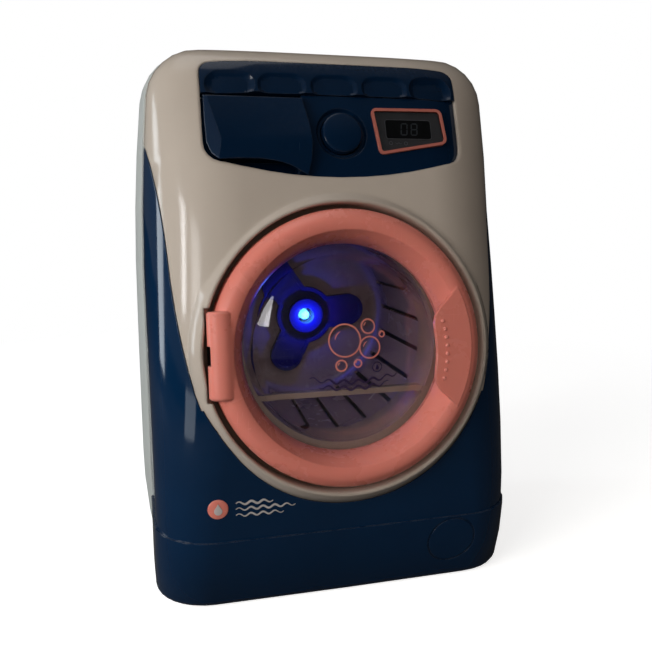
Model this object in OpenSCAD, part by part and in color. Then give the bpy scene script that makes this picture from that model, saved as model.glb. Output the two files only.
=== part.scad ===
// Toy washing machine, front loading, with a working door, drum, drawer, button and switch.
// Millimetres, +Z up, the front faces -Y, and the origin is at the middle of the base.

/* [Body] */
// Overall height
body_h = 240; // [236:1:246]
// Overall width, at the rear shell
body_w = 172; // [170:1:178]
// Overall depth, from the door ring to the rear wall
body_d = 125; // [124:1:130]
// Wall of the moulded shells
wall = 2.2; // [1.8:0.1:2.6]
// How far the rear shell stands out past the front mouldings at each side
shell_step = 1.2; // [0.8:0.1:1.6]
// How far the sides of the rear shell bow out
side_bow = 2; // [1:0.1:2.4]
// Depth of the rear shell
rear_depth = 58.5; // [57:0.5:60]
// Radius of the top corners, seen from the front
top_r = 20; // [18:1:23]
// Radius of the edges round the base
base_r = 4; // [2:0.5:5]
// Radius of the upright front corners at the base, seen from above
corner_low = 22; // [18:1:26]
// Radius of the upright front corners in the upper part
corner_high = 40; // [34:1:42]
// Radius of the rear edges
rear_r = 8; // [5:1:9]
// Height of the widest and foremost part of the front
belly_z = 47; // [44:1:50]
// Radius of the upright curve of the front above the belly
front_r = 483; // [470:1:500]
// Height of the kick plate
kick_h = 34; // [30:1:38]
// How far the kick plate stands out
kick_out = 0.8; // [0.4:0.1:0.9]

/* [Door] */
// Height of the middle of the door
door_z = 114; // [112:1:116]
// How far the door leans back, in degrees
door_lean = 8.5; // [7.5:0.5:9]
// Radius of the opening in the rim
rim_in_r = 61.8; // [61.4:0.1:62.4]
// Outer radius of the rim
rim_out_r = 67.2; // [66.6:0.1:67.8]
// How far the rim's face falls back to its outer edge
rim_fall = 5.6; // [5:0.1:6]
// Depth of the recess that takes the door
rim_depth = 14; // [13.5:0.1:15]
// Outer radius of the door ring
ring_r = 59.4; // [59:0.1:60]
// How far the crest of the door ring stands out
ring_crest = 4.5; // [4:0.1:5]
// Depth of the door ring behind the rim's face
ring_back = 10; // [9.6:0.1:10.4]
// Radius of the clear dome
dome_r = 42; // [40:0.5:43]
// Height of the clear dome
dome_h = 9.5; // [8:0.5:10.5]
// Thickness of the clear window
glass_t = 1.5; // [1.2:0.1:1.8]
// Distance of the hinge axis from the middle of the door
hinge_x = 54.5; // [54:0.1:55]
// Radius of the hinge barrel
barrel_r = 5.8; // [5.4:0.1:6]
// Half the length of the hinge barrel
barrel_h = 18; // [16:1:19]
// Radius of the hinge pin
pin_r = 1.5; // [1.3:0.1:1.7]
// Radial running clearance of pins and shafts
run_gap = 0.05; // [0.03:0.01:0.08]

/* [Drum] */
// Inner radius of the drum's mouth
drum_r = 46.3; // [46:0.1:46.6]
// Inner radius of the drum at its back
drum_back_r = 42.5; // [41.5:0.1:43]
// Wall of the drum
drum_wall = 1.6; // [1.2:0.1:1.8]
// Length of the drum, inside
drum_len = 62; // [60:0.5:62]
// Inner radius of the collar behind the door
mouth_r = 43.2; // [42:0.1:43.4]
// Number of slots round the drum
slots = 20; // [12:1:24]
// Width of a slot
slot_w = 2; // [1.4:0.1:2.6]
// Inner radius of the tub
tub_r = 49; // [48.6:0.1:49.6]
// Wall of the tub
tub_wall = 1.8; // [1.6:0.1:2.2]
// Outer radius of the hollow drum shaft
shaft_r = 6.4; // [6:0.1:6.8]
// Bore of the hollow drum shaft
shaft_bore = 4.2; // [4:0.1:4.4]
// Teeth of the drum gear
gear_teeth = 48; // [44:4:48]
// Teeth of each small gear
pinion_teeth = 12; // [12:1:13]
// Teeth of the large idler gear
idler_teeth = 36; // [32:2:36]
// Module of the drum gear and its pinion
gear_m = 1.5; // [1.4:0.05:1.5]
// Module of the idler gear and the motor pinion
idler_m = 1; // [0.9:0.05:1]
// Face width of the gears
gear_w = 4; // [3.5:0.1:4.4]

/* [Control panel] */
// Half the width of the inset panel
panel_hw = 57.6; // [56:0.1:58.6]
// How far the panel leans back, in degrees
panel_lean = 20; // [19:0.5:21]
// Height of the strip above the panel's gap line
strip_h = 14.8; // [13:0.1:15.4]
// Depth of the panel below the gap line, at the middle
panel_h = 37.3; // [36:0.1:38]
// Number of scooped pads
pads = 5; // [3:1:6]
// Distance between pads
pad_pitch = 23; // [18:0.5:23]
// Radius of the start button
button_r = 9; // [8:0.1:9.6]
// Travel of the start button
button_travel = 1.8; // [1.2:0.1:2]
// Gap round the drawer front and the button
part_gap = 0.4; // [0.3:0.05:0.6]
// Length of the drawer's tray behind the panel
tray_len = 44; // [40:1:46]

/* [Power] */
// Radius of an AA cell
cell_r = 7.1; // [6.9:0.1:7.2]
// Length of an AA cell
cell_len = 50.2; // [49:0.1:50.5]
// Number of cells
cells = 3; // [2:1:3]
// Radius of the speaker
speaker_r = 18; // [14:1:20]
// Travel of the power switch, each way
switch_travel = 2.5; // [2:0.1:3]

/* [Hidden] */

// Colours as the photograph shows them
beige = [0.66, 0.61, 0.55];
navy = [0.03, 0.13, 0.24];
coral = [0.87, 0.47, 0.41];
pale = [0.80, 0.82, 0.80];
lavender = [0.62, 0.60, 0.70];
steel = [0.70, 0.70, 0.72];
black = [0.06, 0.06, 0.07];
clear = [0.85, 0.85, 0.95, 0.35];

// Body, derived
back_y = body_d / 2;
seam_y = back_y - rear_depth;
half_w = body_w / 2 - shell_step - side_bow;
crest_r = 7.2;
crest_y = crest_r - ring_crest;
crest_x = ring_r - 6.2;
door_y = -back_y + crest_r - crest_y * cos(door_lean) + crest_x * sin(door_lean);
belly_y = door_y - 4.4;
low_r = 122;
side_z = 140;
side_r = 800;
foot_z = 45;
foot_r = 216;
bow_z = 60;
top_front_r = 12;
crown = 0.8;
corner_z = 160;
lip = 0.7;
steps = 8;
eps = 0.01;

// Heights at which the shells are lofted
levels = concat([for (a = [0 : 30 : 90]) base_r * (1 - cos(a))],
    [for (i = [1 : 3]) base_r + (belly_z - base_r) * i / 3],
    [for (i = [1 : 7]) belly_z + (body_h - top_r - belly_z) * i / 7],
    [for (a = [15 : 15 : 90]) body_h - top_r + top_r * sin(a)]);

// How far an edge of radius r has drawn in at a distance t past its start
function drawn_in(t, r) = t <= 0 ? 0 : r - sqrt(max(0, r * r - t * t));

// How far the base edge or the top edge draws in at height z
function edge_in(z, r) = drawn_in(base_r - z, base_r) + drawn_in(z - body_h + r, r);

// Half the width of the front mouldings at height z
function half_width(z) = half_w - edge_in(z, top_r) - drawn_in(z - side_z, side_r);

// Half the width of the rear shell at height z and a share u of its depth
function rear_width(z, u) = half_width(z) + shell_step - drawn_in(foot_z - z, foot_r)
    + side_bow * sin(180 * u) * (1 - 0.8 * pow(max(0, z - bow_z) / (body_h - bow_z), 2));

// Place of the front surface on the centre line at height z
function front_y(z) = belly_y + edge_in(z, top_front_r)
    + drawn_in(belly_z - z, low_r) + drawn_in(z - belly_z, front_r);

// Smooth step from 0 to 1
function smooth(u) = let (v = min(1, max(0, u))) v * v * (3 - 2 * v);

// Radius of the upright front corner at height z
function corner_r(z) = corner_low + (corner_high - corner_low) * smooth(z / corner_z);

// Points of an arc
function arc(c, r, a0, a1, n) = [for (i = [0 : n]) let (a = a0 + (a1 - a0) * i / n)
    [c[0] + r * cos(a), c[1] + r * sin(a)]];

// Points of a curve from a to d that leaves towards b and arrives from c
function curve(a, b, c, d, n) = [for (i = [0 : n]) let (t = i / n, u = 1 - t)
    a * u * u * u + b * 3 * u * u * t + c * 3 * u * t * t + d * t * t * t];

// Place of the front surface at x and height z
function front_at(x, z) = let (
    hw = half_width(z),
    y0 = front_y(z),
    rx = corner_r(z),
    ry = max(0.5, min(rx, seam_y - y0 - 3)),
    u = max(0, abs(x) - hw + rx) / rx)
    y0 + crown * x * x / hw / hw + ry * (1 - sqrt(max(0, 1 - u * u)));

// Right half of one level of the front form, drawn in by k and carried past the seam
function front_half(z, k, past) = let (
    hw = half_width(z) - k,
    y0 = front_y(z) + k,
    rx = corner_r(z) - k,
    ry = max(0.5, min(rx, seam_y - y0 - 3)))
    concat([[0, y0]], [for (i = [steps : -1 : 0]) let (a = 90 * i / steps, x = hw - rx + rx * cos(a))
        [x, y0 + ry - ry * sin(a) + crown * x * x / hw / hw]],
        [[hw, seam_y - 1.5], [hw - lip, seam_y + past]]);

// One level of the front form, open end at the seam
function front_ring(z, k, past) = let (
    half = front_half(z, k, past),
    zk = k + z * (body_h - 2 * k) / body_h,
    n = len(half) - 1)
    concat([for (i = [n : -1 : 1]) [-half[i][0], half[i][1], zk]], [for (p = half) [p[0], p[1], zk]]);

// One level of the rear form at depth y, drawn in by k
function rear_ring(y, k, u) = concat(
    [for (z = levels) [rear_width(z, u) - k, y, k + z * (body_h - 2 * k) / body_h]],
    [for (i = [len(levels) - 1 : -1 : 0]) let (z = levels[i])
        [-(rear_width(z, u) - k), y, k + z * (body_h - 2 * k) / body_h]]);

// Solid through a stack of rings, each with its points anticlockwise seen from the last ring
module loft(rings) {
    n = len(rings[0]);
    last = len(rings) - 1;
    sides = [for (j = [0 : last - 1], i = [0 : n - 1]) let (k = (i + 1) % n)
        each [[j * n + i, (j + 1) * n + i, (j + 1) * n + k], [j * n + i, (j + 1) * n + k, j * n + k]]];
    polyhedron([for (r = rings) each r],
        concat([[for (i = [0 : n - 1]) i]], sides, [[for (i = [n - 1 : -1 : 0]) last * n + i]]));
}

module front_form(k, past) {
    loft([for (z = levels) front_ring(z, k, past)]);
}

module rear_form(k, past) {
    r = rear_r - k;
    y1 = back_y - k;
    y0 = seam_y - past;
    rounded = [for (a = [90 : -22.5 : 0]) [y1 - r * (1 - sin(a)), r * (1 - cos(a))]];
    flank = [for (u = [0.8, 0.6, 0.4, 0.2]) [seam_y + (y1 - r - seam_y) * u, 0]];
    loft([for (d = concat(rounded, flank, [[y0, past > 0 ? 0 : lip]]))
        rear_ring(d[0], k + d[1], min(1, max(0, (d[0] - seam_y) / (back_y - seam_y))))]);
}

module front_shell() {
    difference() {
        front_form(0, 0);
        front_form(wall, 1);
    }
}

// Flat shape in X and Z, made solid from y0 to y1
module along_y(y0, y1) {
    translate([0, y1, 0]) rotate([90, 0, 0]) linear_extrude(y1 - y0) children();
}

// Flat shape in radius and depth, turned about the Y axis
module about_y(fn = 96) {
    rotate([-90, 0, 0]) rotate_extrude($fn = fn) children();
}

// Round bar along Y from y0 to y1
module bar_y(r, y0, y1, fn = 32) {
    translate([0, y0, 0]) rotate([-90, 0, 0]) cylinder(r = r, h = y1 - y0, $fn = fn);
}

// Door frame: its middle on the rim's face, leaning back with the door
module at_door() {
    translate([0, door_y, door_z]) rotate([-door_lean, 0, 0]) children();
}

// Panel frame: its middle on the gap line, leaning back with the panel
panel_z = body_h - 20;
panel_y = front_y(panel_z) + 2.3;
module at_panel() {
    translate([0, panel_y, panel_z]) rotate([-panel_lean, 0, 0]) children();
}

// Drum frame: the level axis that the drum turns on
module at_drum() {
    translate([0, 0, door_z]) children();
}

// Parting line between the beige fascia and the navy cover, seen from the front:
// it leaves the rim's edge at a tangent and climbs to the seam at each side
part_a = 20;
part_mid = [half_w - 10.4, door_z + 25];
part_end = [half_w + 0.6, door_z + 95];
function part_line() = let (a = [rim_out_r * cos(part_a), door_z - rim_out_r * sin(part_a)])
    concat(curve(a, a + 14 * [sin(part_a), cos(part_a)], part_mid - [1.2, 13], part_mid, 6),
        curve(part_mid + [0.4, 4], part_mid + [1.4, 20], part_end - [7.8, 23], part_end, 7));

module fascia_area(gap) {
    edge = [for (p = part_line()) p + [gap, 0]];
    n = len(edge) - 1;
    polygon(concat([for (p = edge) p],
        [[2 * half_w, part_end[1] + 8], [2 * half_w, 2 * body_h], [-2 * half_w, 2 * body_h], [-2 * half_w, part_end[1] + 8]],
        [for (i = [n : -1 : 0]) [-edge[i][0], edge[i][1]]]));
}
shut_gap = 0.25;

// Section of the rim round the door, in radius and depth
module rim_section(grow) {
    polygon([[rim_in_r, rim_depth], [rim_in_r, 0.7], [rim_in_r + 0.5 + grow, 0], [rim_in_r + 1.3 + grow, 0],
        [rim_out_r + grow, rim_fall], [rim_out_r + grow, rim_depth]]);
}

// Outline of the inset panel in the panel frame, grown by g
panel_corner = 5;
low_corner = 8.6;
panel_arc_r = 189;
function panel_outline(g) = let (
    hw = panel_hw + g,
    top = strip_h + g,
    r = low_corner + g,
    big = panel_arc_r + g,
    cy = panel_arc_r - panel_h,
    yc = cy - sqrt(pow(big - r, 2) - pow(hw - r, 2)),
    a = atan((hw - r) / (cy - yc)))
    concat(
        arc([hw - panel_corner, top - panel_corner], panel_corner, 0, 90, 4),
        arc([-hw + panel_corner, top - panel_corner], panel_corner, 90, 180, 4),
        arc([-hw + r, yc], r, 180, 270 - a, 4),
        arc([0, cy], big, 270 - a + 3, 270 + a - 3, 8),
        arc([hw - r, yc], r, 270 + a, 360, 4));

// Case screw places, in X and Z, and their bosses
screw_x = half_w - 17;
screw_low = 24;
screw_high = body_h - 22;
case_places = [[-screw_x, screw_low], [screw_x, screw_low], [-screw_x + 2, screw_high], [screw_x - 2, screw_high]];
boss_r = 4.2;
screw_r = 1.5;
head_r = 2.9;
screw_len = 16;

// Front half of the case bosses, kept inside the front form
module front_bosses(places) {
    intersection() {
        for (p = places) translate([p[0], 0, p[1]]) bar_y(boss_r, belly_y, seam_y);
        front_form(wall / 2, 0);
    }
}

module screw_holes(places) {
    for (p = places) translate([p[0], 0, p[1]]) bar_y(screw_r, seam_y - screw_len / 2, back_y);
}

// Hinge place in the door frame
module at_hinge() {
    translate([-hinge_x, 0, 0]) children();
}

// Beige upper front moulding with the rim round the door
collar_t = 1.6;
panel_seat = 5.2;
module front_fascia() {
    color(beige) difference() {
        union() {
            intersection() {
                front_shell();
                along_y(-body_d, body_d) fascia_area(0);
            }
            at_door() about_y() rim_section(0);
            intersection() {
                at_panel() along_y(-6, panel_seat) polygon(panel_outline(collar_t));
                front_form(wall / 2, 0);
            }
            front_bosses([case_places[2], case_places[3]]);
        }
        at_door() bar_y(rim_in_r, -20, 60, 96);
        at_panel() along_y(-20, 20) polygon(panel_outline(0));
        at_door() at_hinge() cylinder(r = barrel_r + 0.8, h = 2 * barrel_h + 3, center = true, $fn = 48);
        screw_holes(case_places);
    }
}

// Navy lower front moulding with the side bands and the kick plate
filter_x = 49;
filter_z = 21.6;
filter_r = 11.4;
filter_gap = 0.7;
module front_cover() {
    color(navy) difference() {
        union() {
            difference() {
                front_shell();
                along_y(-body_d, body_d) fascia_area(shut_gap);
            }
            intersection() {
                difference() {
                    front_form(-kick_out, 0);
                    front_form(wall / 2, 1);
                }
                translate([-body_w, -body_d, 0]) cube([2 * body_w, 2 * body_d, kick_h]);
            }
            front_bosses([case_places[0], case_places[1]]);
        }
        at_door() about_y() polygon([[0, -30], [rim_in_r + 1.8, -30], [rim_in_r + 1.8, 0],
            [rim_out_r + shut_gap, rim_fall], [rim_out_r + shut_gap, 40], [0, 40]]);
        filter_groove();
        screw_holes(case_places);
    }
}

// Groove round the pretend filter cover in the kick plate
module filter_groove() {
    difference() {
        translate([filter_x, 0, filter_z]) difference() {
            bar_y(filter_r + filter_gap / 2, -back_y, 0, 64);
            bar_y(filter_r - filter_gap / 2, -back_y - 1, 1, 64);
        }
        front_form(0.5 - kick_out, 1);
    }
}

// Rear wall openings
box_in = 1.6;
cell_pitch = 2 * cell_r + 1;
box_hw = cell_len / 2 + 5;
box_z0 = 9;
box_h = cells * cell_pitch + 1;
box_depth = 2 * cell_r + 2;
door_t = 1.3;
door_hw = box_hw + 2;
door_z0 = box_z0 - 1.5;
door_h = box_h + 8.5;
screw_z = box_z0 + box_h + 4.2;
lug_hw = 4.5;
speaker_z = door_z + 72;
speaker_x = 20;
speaker_t = 7;
switch_x = -56;
switch_z = 68;
slot_hw = switch_travel + 4;
grille_r = 1.3;

module grille_holes() {
    translate([speaker_x, 0, speaker_z]) {
        bar_y(grille_r, back_y - 2 * wall, back_y + 1, 24);
        for (k = [1 : 2], i = [0 : 6 * k - 1]) rotate([0, 60 * i / k, 0])
            translate([speaker_r * 0.32 * k, 0, 0]) bar_y(grille_r, back_y - 2 * wall, back_y + 1, 24);
    }
}

// Pale rear moulding with the battery opening, speaker grille and switch slot
module rear_shell() {
    color(pale) difference() {
        union() {
            difference() {
                rear_form(0, 0);
                rear_form(wall, 1);
            }
            for (p = case_places) translate([p[0], 0, p[1]]) bar_y(boss_r, seam_y, back_y - wall / 2);
        }
        translate([-door_hw - 0.3, back_y - door_t - 0.3, door_z0 - 0.3]) cube([2 * door_hw + 0.6, 10, door_h + 0.6]);
        translate([-box_hw - box_in, back_y - wall - 1, box_z0 - box_in]) cube([2 * (box_hw + box_in), 10, box_h + 2 * box_in]);
        translate([0, 0, screw_z]) bar_y(1.5, back_y - wall - 1, back_y + 1);
        grille_holes();
        translate([switch_x - slot_hw, back_y - wall - 1, switch_z - 2.5]) cube([2 * slot_hw, 10, 5]);
        screw_holes(case_places);
        for (p = case_places) translate([p[0], 0, p[1]]) bar_y(head_r + 0.3, seam_y + screw_len / 2, back_y + 1);
    }
}

// Screws that hold the rear shell to the front mouldings
module case_screws() {
    color(steel) for (p = case_places) translate([p[0], 0, p[1]]) {
        bar_y(screw_r, seam_y - screw_len / 2, seam_y + screw_len / 2);
        bar_y(head_r, seam_y + screw_len / 2, seam_y + screw_len / 2 + 1.8);
    }
}

// Drawer front outline in the panel frame
drawer_right = [[-14.8, -1.5], [-13.2, -9], [-12.2, -16], [-12, -22], [-12.6, -29], [-14.4, -36]];
drawer_arch = [[-17.5, -34], [-21.5, -31.6], [-27, -29.8], [-34.6, -28.8], [-44, -28.7], [-51.5, -29.2]];
drawer_left = [[-54.4, -27], [-56.2, -22], [-56.6, -12], [-56.6, -1.5]];
drawer_mid = [-34, -16];
function grown(points, g) = [for (p = points) let (v = p - drawer_mid) p + g * v / norm(v) * 1.2];
function drawer_outline(g) = grown(concat(drawer_right, drawer_arch, drawer_left), g);
squash = cos(panel_lean);
drawer_side = concat([[-14.8 + part_gap, 20]], [for (p = drawer_right) p + [part_gap, 0]],
    [[-14.6 + part_gap, -60], [-80, -60], [-80, 20]]);

// Drawer outline seen level from the front, made solid from y0 to y1
module drawer_prism(g, y0, y1) {
    translate([0, 0, panel_z]) along_y(y0, y1) scale_z() polygon(drawer_outline(g));
}
module scale_z() {
    multmatrix([[1, 0, 0, 0], [0, squash, 0, 0], [0, 0, 1, 0], [0, 0, 0, 1]]) children();
}

face_in = 1.6;
pocket_x0 = -50;
pocket_x1 = -17;
pocket_top = -27;
pocket_deep = 10;

// Navy inset panel: openings for the drawer, its grip, the button and the display
module control_panel() {
    color(navy) difference() {
        union() {
            intersection() {
                at_panel() along_y(-30, panel_seat) below_gap() polygon(panel_outline(-0.2));
                front_form(face_in, 0);
            }
            intersection() {
                at_panel() along_y(panel_seat, panel_seat + 1.6) polygon(panel_outline(collar_t));
                front_form(wall + 0.2, 1);
            }
            at_panel() translate([button_x, 0, button_s]) bar_y(button_r + 4, panel_seat, stop_y);
            at_panel() for (p = board_places) translate([p[0], 0, p[1]]) bar_y(boss_r - 1, panel_seat, board_y);
        }
        translate([0, 0, panel_z]) along_y(panel_y - 60, panel_y + 60) scale_z() polygon(drawer_side);
        at_panel() translate([button_x, 0, button_s]) {
            bar_y(button_r + part_gap, -5, 20, 64);
            about_y(64) polygon([[0, -4], [button_r + 2.8, -4], [button_r + 2.8, -0.6], [button_r + 1.4, 1.4], [0, 1.4]]);
        }
        at_panel() along_y(-5, 20) polygon(display_outline(-frame_w - 0.6));
        at_panel() along_y(-8, disp_face + disp_t) polygon(display_outline(0));
        board_holes();
    }
}

button_x = 2.3;
button_s = -17.1;

// Start button, pressed along the panel's normal
cap_y = -2.6;
stop_y = panel_seat + 3;
flange_w = 1.4;
module start_button() {
    color(navy) at_panel() translate([button_x, 0, button_s]) {
        difference() {
            about_y(64) polygon(concat([[0, cap_y]],
                [for (i = [1 : 4]) [button_r * 0.84 * i / 4, cap_y + 0.5 * pow(i / 4, 2)]],
                arc([button_r - 1.2, cap_y + 1.7], 1.2, -60, 0, 3),
                [[button_r, stop_y + 0.3], [button_r + flange_w, stop_y + 0.3], [button_r + flange_w, stop_y + 1.2], [0, stop_y + 1.2]]));
            bar_y(button_r - 1.6, 1, stop_y + 3, 48);
        }
        bar_y(2.2, 0.5, board_y - 1.6 - 0.3 - button_travel);
    }
}

// Strip with the scooped pads above the panel
strip_out = 0.3;
scoop_r = 10;
scoop_in = 1.3;
scoop_end = sqrt(scoop_r * scoop_r - pow(scoop_r - scoop_in, 2));
pad_w = pad_pitch * 0.84;
pad_z = panel_z + 6.6;
module below_gap() {
    intersection() {
        children();
        translate([-100, -100.1]) square([200, 100]);
    }
}
module panel_strip() {
    color(navy) difference() {
        intersection() {
            at_panel() along_y(-30, panel_seat) difference() {
                polygon(panel_outline(-0.25));
                translate([-100, -100]) square([200, 100]);
            }
            front_form(-strip_out, 0);
        }
        for (i = [0 : pads - 1]) let (
            x = (i - (pads - 1) / 2) * pad_pitch,
            a = front_at(x - pad_w / 2, pad_z),
            b = front_at(x + pad_w / 2, pad_z))
            translate([x, (a + b) / 2 - strip_out - scoop_r + scoop_in, pad_z])
            rotate([0, 0, atan((b - a) / pad_w)]) rotate([0, 90, 0]) scoop();
    }
}
module scoop() {
    l = pad_w / 2 - scoop_end;
    rotate_extrude($fn = 96) polygon(concat([[0, -l - scoop_r * sin(40)]], arc([0, -l], scoop_r, -40, 0, 5),
        arc([0, l], scoop_r, 0, 40, 5), [[0, l + scoop_r * sin(40)]]));
}

// Outline of the display bezel, in the panel frame
function display_outline(g) = let (r = 2.4 + g) concat(
    arc([18.8, -7.6], r, 90, 190, 4),
    arc([20.8, -24], r, 190, 275, 4),
    arc([47.6, -18.6], r + 0.8, 285, 360, 4),
    arc([46.8, -7.9], r + 0.6, 0, 90, 4));

disp_face = -0.9;
disp_t = 1.8;
frame_w = 1.35;
module display_bezel() {
    color(coral) at_panel() along_y(disp_face, disp_face + disp_t) difference() {
        polygon(display_outline(0));
        polygon(display_outline(-frame_w));
    }
}

module display_lens() {
    color([0.08, 0.08, 0.1, 0.6]) at_panel()
        along_y(disp_face + 0.4, disp_face + disp_t) polygon(display_outline(-frame_w));
}

lcd_size = [23.4, 10];
lcd_mid = [33.4, -14.4];
module lcd_module() {
    color(black) at_panel() translate([lcd_mid[0] - lcd_size[0] / 2, disp_face + disp_t, lcd_mid[1] - lcd_size[1] / 2])
        cube([lcd_size[0], board_y - disp_face - disp_t, lcd_size[1]]);
}

// Circuit board behind the panel, with the button's switch
board_x0 = -7;
board_y = 12;
module control_board() {
    color([0.05, 0.3, 0.15]) at_panel() {
        difference() {
            translate([board_x0, board_y, -30]) cube([58, 1.6, 36]);
            for (p = board_places) translate([p[0], 0, p[1]]) bar_y(screw_r, 0, board_y + 4);
        }
        translate([button_x - 3, board_y - 1.6, button_s - 3]) cube([6, 1.6, 6]);
        translate([26, board_y + 1.6, -12]) cube([10, 2, 10]);
        translate([10, board_y + 1.6, -26]) cube([7, 5, 5]);
    }
}
board_places = [[14, 2], [48, 2]];

// Screws that hold the board on the panel's posts
module board_holes() {
    at_panel() for (p = board_places) translate([p[0], 0, p[1]]) bar_y(screw_r, board_y - 6, board_y + 4);
}
module panel_screws() {
    color(steel) at_panel() for (p = board_places) translate([p[0], 0, p[1]]) {
        bar_y(screw_r, board_y - 6, board_y + 1.6);
        bar_y(head_r, board_y + 1.6, board_y + 3);
    }
}

// Detergent drawer front
crease_s = -21.8;
front_top = -2;
front_crease = -4.4;
front_low = -1.2;
front_back = 3;
module drawer_front() {
    color(navy) intersection() {
        drawer_prism(0, panel_y - 60, panel_y + 60);
        at_panel() beyond([-55.8, -2.1, -1], [-50.6, front_crease, crease_s], [-57.2, 0.4, crease_s]);
        at_panel() translate([-70, 0, 0]) rotate([90, 0, 90]) linear_extrude(70)
            polygon([[front_top, 0], [front_crease, crease_s], [front_low, -40], [front_back, -40], [front_back, 0]]);
    }
}

// Half of space that lies beyond the plane through three points
module beyond(a, b, c) {
    n = cross(b - a, c - a) / norm(cross(b - a, c - a));
    u = (b - a) / norm(b - a);
    v = cross(n, u);
    multmatrix([[u[0], v[0], n[0], a[0]], [u[1], v[1], n[1], a[1]], [u[2], v[2], n[2], a[2]], [0, 0, 0, 1]])
        translate([-100, -100, 0]) cube([200, 200, 100]);
}

// Drawer tray
tray_x0 = -52;
tray_x1 = -17;
tray_z0 = panel_z - 24;
tray_z1 = panel_z - 7;
tray_t = 1.5;
tray_y1 = panel_y + tray_len - 8;
module tray_block(g, y1, z1) {
    translate([tray_x0 - g, panel_y - 30, tray_z0 - g]) cube([tray_x1 - tray_x0 + 2 * g, y1 - panel_y + 30, z1 - tray_z0 + 2 * g]);
}
module behind(d) {
    at_panel() translate([-100, d, -100]) cube([200, 200, 200]);
}
module drawer_tray() {
    color(pale) difference() {
        intersection() {
            tray_block(0, tray_y1, tray_z1);
            behind(front_back);
        }
        intersection() {
            tray_block(-tray_t, tray_y1, tray_z1 + 10);
            behind(front_back + tray_t);
        }
    }
}

// Sleeve that the drawer runs in, with the finger pocket below it
sleeve_t = 1.6;
module drawer_housing() {
    color(navy) difference() {
        union() {
            intersection() {
                tray_block(part_gap + sleeve_t, tray_y1 + 0.6, tray_z1);
                behind(panel_seat);
            }
            at_panel() along_y(panel_seat, panel_seat + 3.2) intersection() {
                polygon(panel_outline(collar_t));
                translate([-70, -60]) square([70 - 14.9, 59.5]);
            }
            at_panel() along_y(panel_seat + 1.6, panel_seat + 3.2) intersection() {
                polygon(panel_outline(collar_t));
                translate([-16, -60]) square([4.8, 60 - 3]);
            }
            at_panel() along_y(panel_seat, pocket_deep + 1.4) intersection() {
                polygon(panel_outline(1.4));
                translate([pocket_x0 - 1.4, -60]) square([pocket_x1 - pocket_x0 + 2.8, 60 + pocket_top + 1.4]);
            }
        }
        intersection() {
            tray_block(part_gap, tray_y1 + 0.2, tray_z1);
            behind(-20);
        }
        at_panel() along_y(-5, pocket_deep) intersection() {
            polygon(panel_outline(-1.2));
            translate([pocket_x0, -60]) square([pocket_x1 - pocket_x0, 60 + pocket_top]);
        }
    }
}

// Door ring section: outer band, crest, and the dished slope down to the window
lip_r = dome_r + 3;
seat_r = 49.3;
module ring_section() {
    polygon(concat([[ring_r, ring_back]],
        arc([ring_r - 5.4, 1.6], 5.4, 0, -60, 4),
        arc([ring_r - 6.2, 2.7], ring_crest + 2.7, -70, -115, 5),
        [[lip_r + 1.6, 2], [lip_r, ring_back - glass_t],
        [seat_r, ring_back - glass_t], [seat_r, ring_back]]));
}

// Handle plate: its wavy inner edge, in X and Z
handle_mid = -2.2;
handle_edge = [[48.6, 28.6], [46, 25], [42, 20.4], [39.2, 17.8], [37.4, 14.8], [36.8, 11.6], [37.1, 8], [37.6, 4], [37.8, 0]];
handle_t = 2.2;
handle_face = -4.75;
handle_out = ring_r - 5.4;
dots = 8;
dot_pitch = 3.56;
function mirror_z(points) = [for (i = [len(points) - 2 : -1 : 0]) [points[i][0], -points[i][1]]];
module handle_area() {
    intersection() {
        circle(r = handle_out, $fn = 96);
        translate([0, handle_mid]) polygon(concat([[80, 28.6]], handle_edge, mirror_z(handle_edge), [[80, -28.6]]));
    }
}

// Coral door ring with the hinge barrel and the handle plate
arm_h = 3.6;
arm_hw = 1.8;
knuckle_r = 3.9;
door_open = 100;
// Cut in the ring's outer edge beside the barrel
notch_in = 1.8;
notch_low = 11;
notch_high = 13.2;
bracket_hw = 4.6;
bracket_hh = 9;
// The room that the hinge arm sweeps in the ring, seen from above
arm_side = arm_hw + 0.4;
arm_sweep = concat([[0, -0.5], [arm_side, 0], [arm_side, 30]],
    [for (a = [0 : 20 : door_open]) 30 * [-sin(a), cos(a)]],
    [[-30 * sin(door_open) - arm_side * cos(door_open), 30 * cos(door_open) - arm_side * sin(door_open)],
        [-arm_side * cos(door_open), -arm_side * sin(door_open)]]);
module door_ring() {
    color(coral) difference() {
        union() {
            difference() {
                at_door() about_y(128) ring_section();
                at_door() translate([-ring_r - 10, -10, -notch_low]) cube([10 + notch_in, 40, notch_low + notch_high]);
            }
            at_door() at_hinge() hinge_barrel();
            at_door() along_y(handle_face, handle_face + handle_t) handle_area();
            at_door() handle_dots();
        }
        at_door() at_hinge() {
            cylinder(r = pin_r, h = 2 * barrel_h - 4, center = true, $fn = 32);
            cylinder(r = knuckle_r + 0.5, h = 2 * (arm_h + part_gap), center = true, $fn = 32);
            translate([0, 0, -arm_h - part_gap]) linear_extrude(2 * (arm_h + part_gap)) polygon(arm_sweep);
        }
        retainer_holes();
    }
}
// Barrel with softly turned ends
module hinge_barrel() {
    rotate_extrude($fn = 64) polygon([[0, -barrel_h], [barrel_r - 0.8, -barrel_h], [barrel_r, -barrel_h + 0.8],
        [barrel_r, barrel_h - 0.8], [barrel_r - 0.8, barrel_h], [0, barrel_h]]);
}
module handle_dots() {
    for (i = [0 : dots - 1]) let (s = (i - (dots - 1) / 2) * dot_pitch)
        translate([42.4 - s * s / 80, 0, handle_mid + s]) bar_y(0.7, handle_face - 0.4, handle_face + 1, 16);
}

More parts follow.
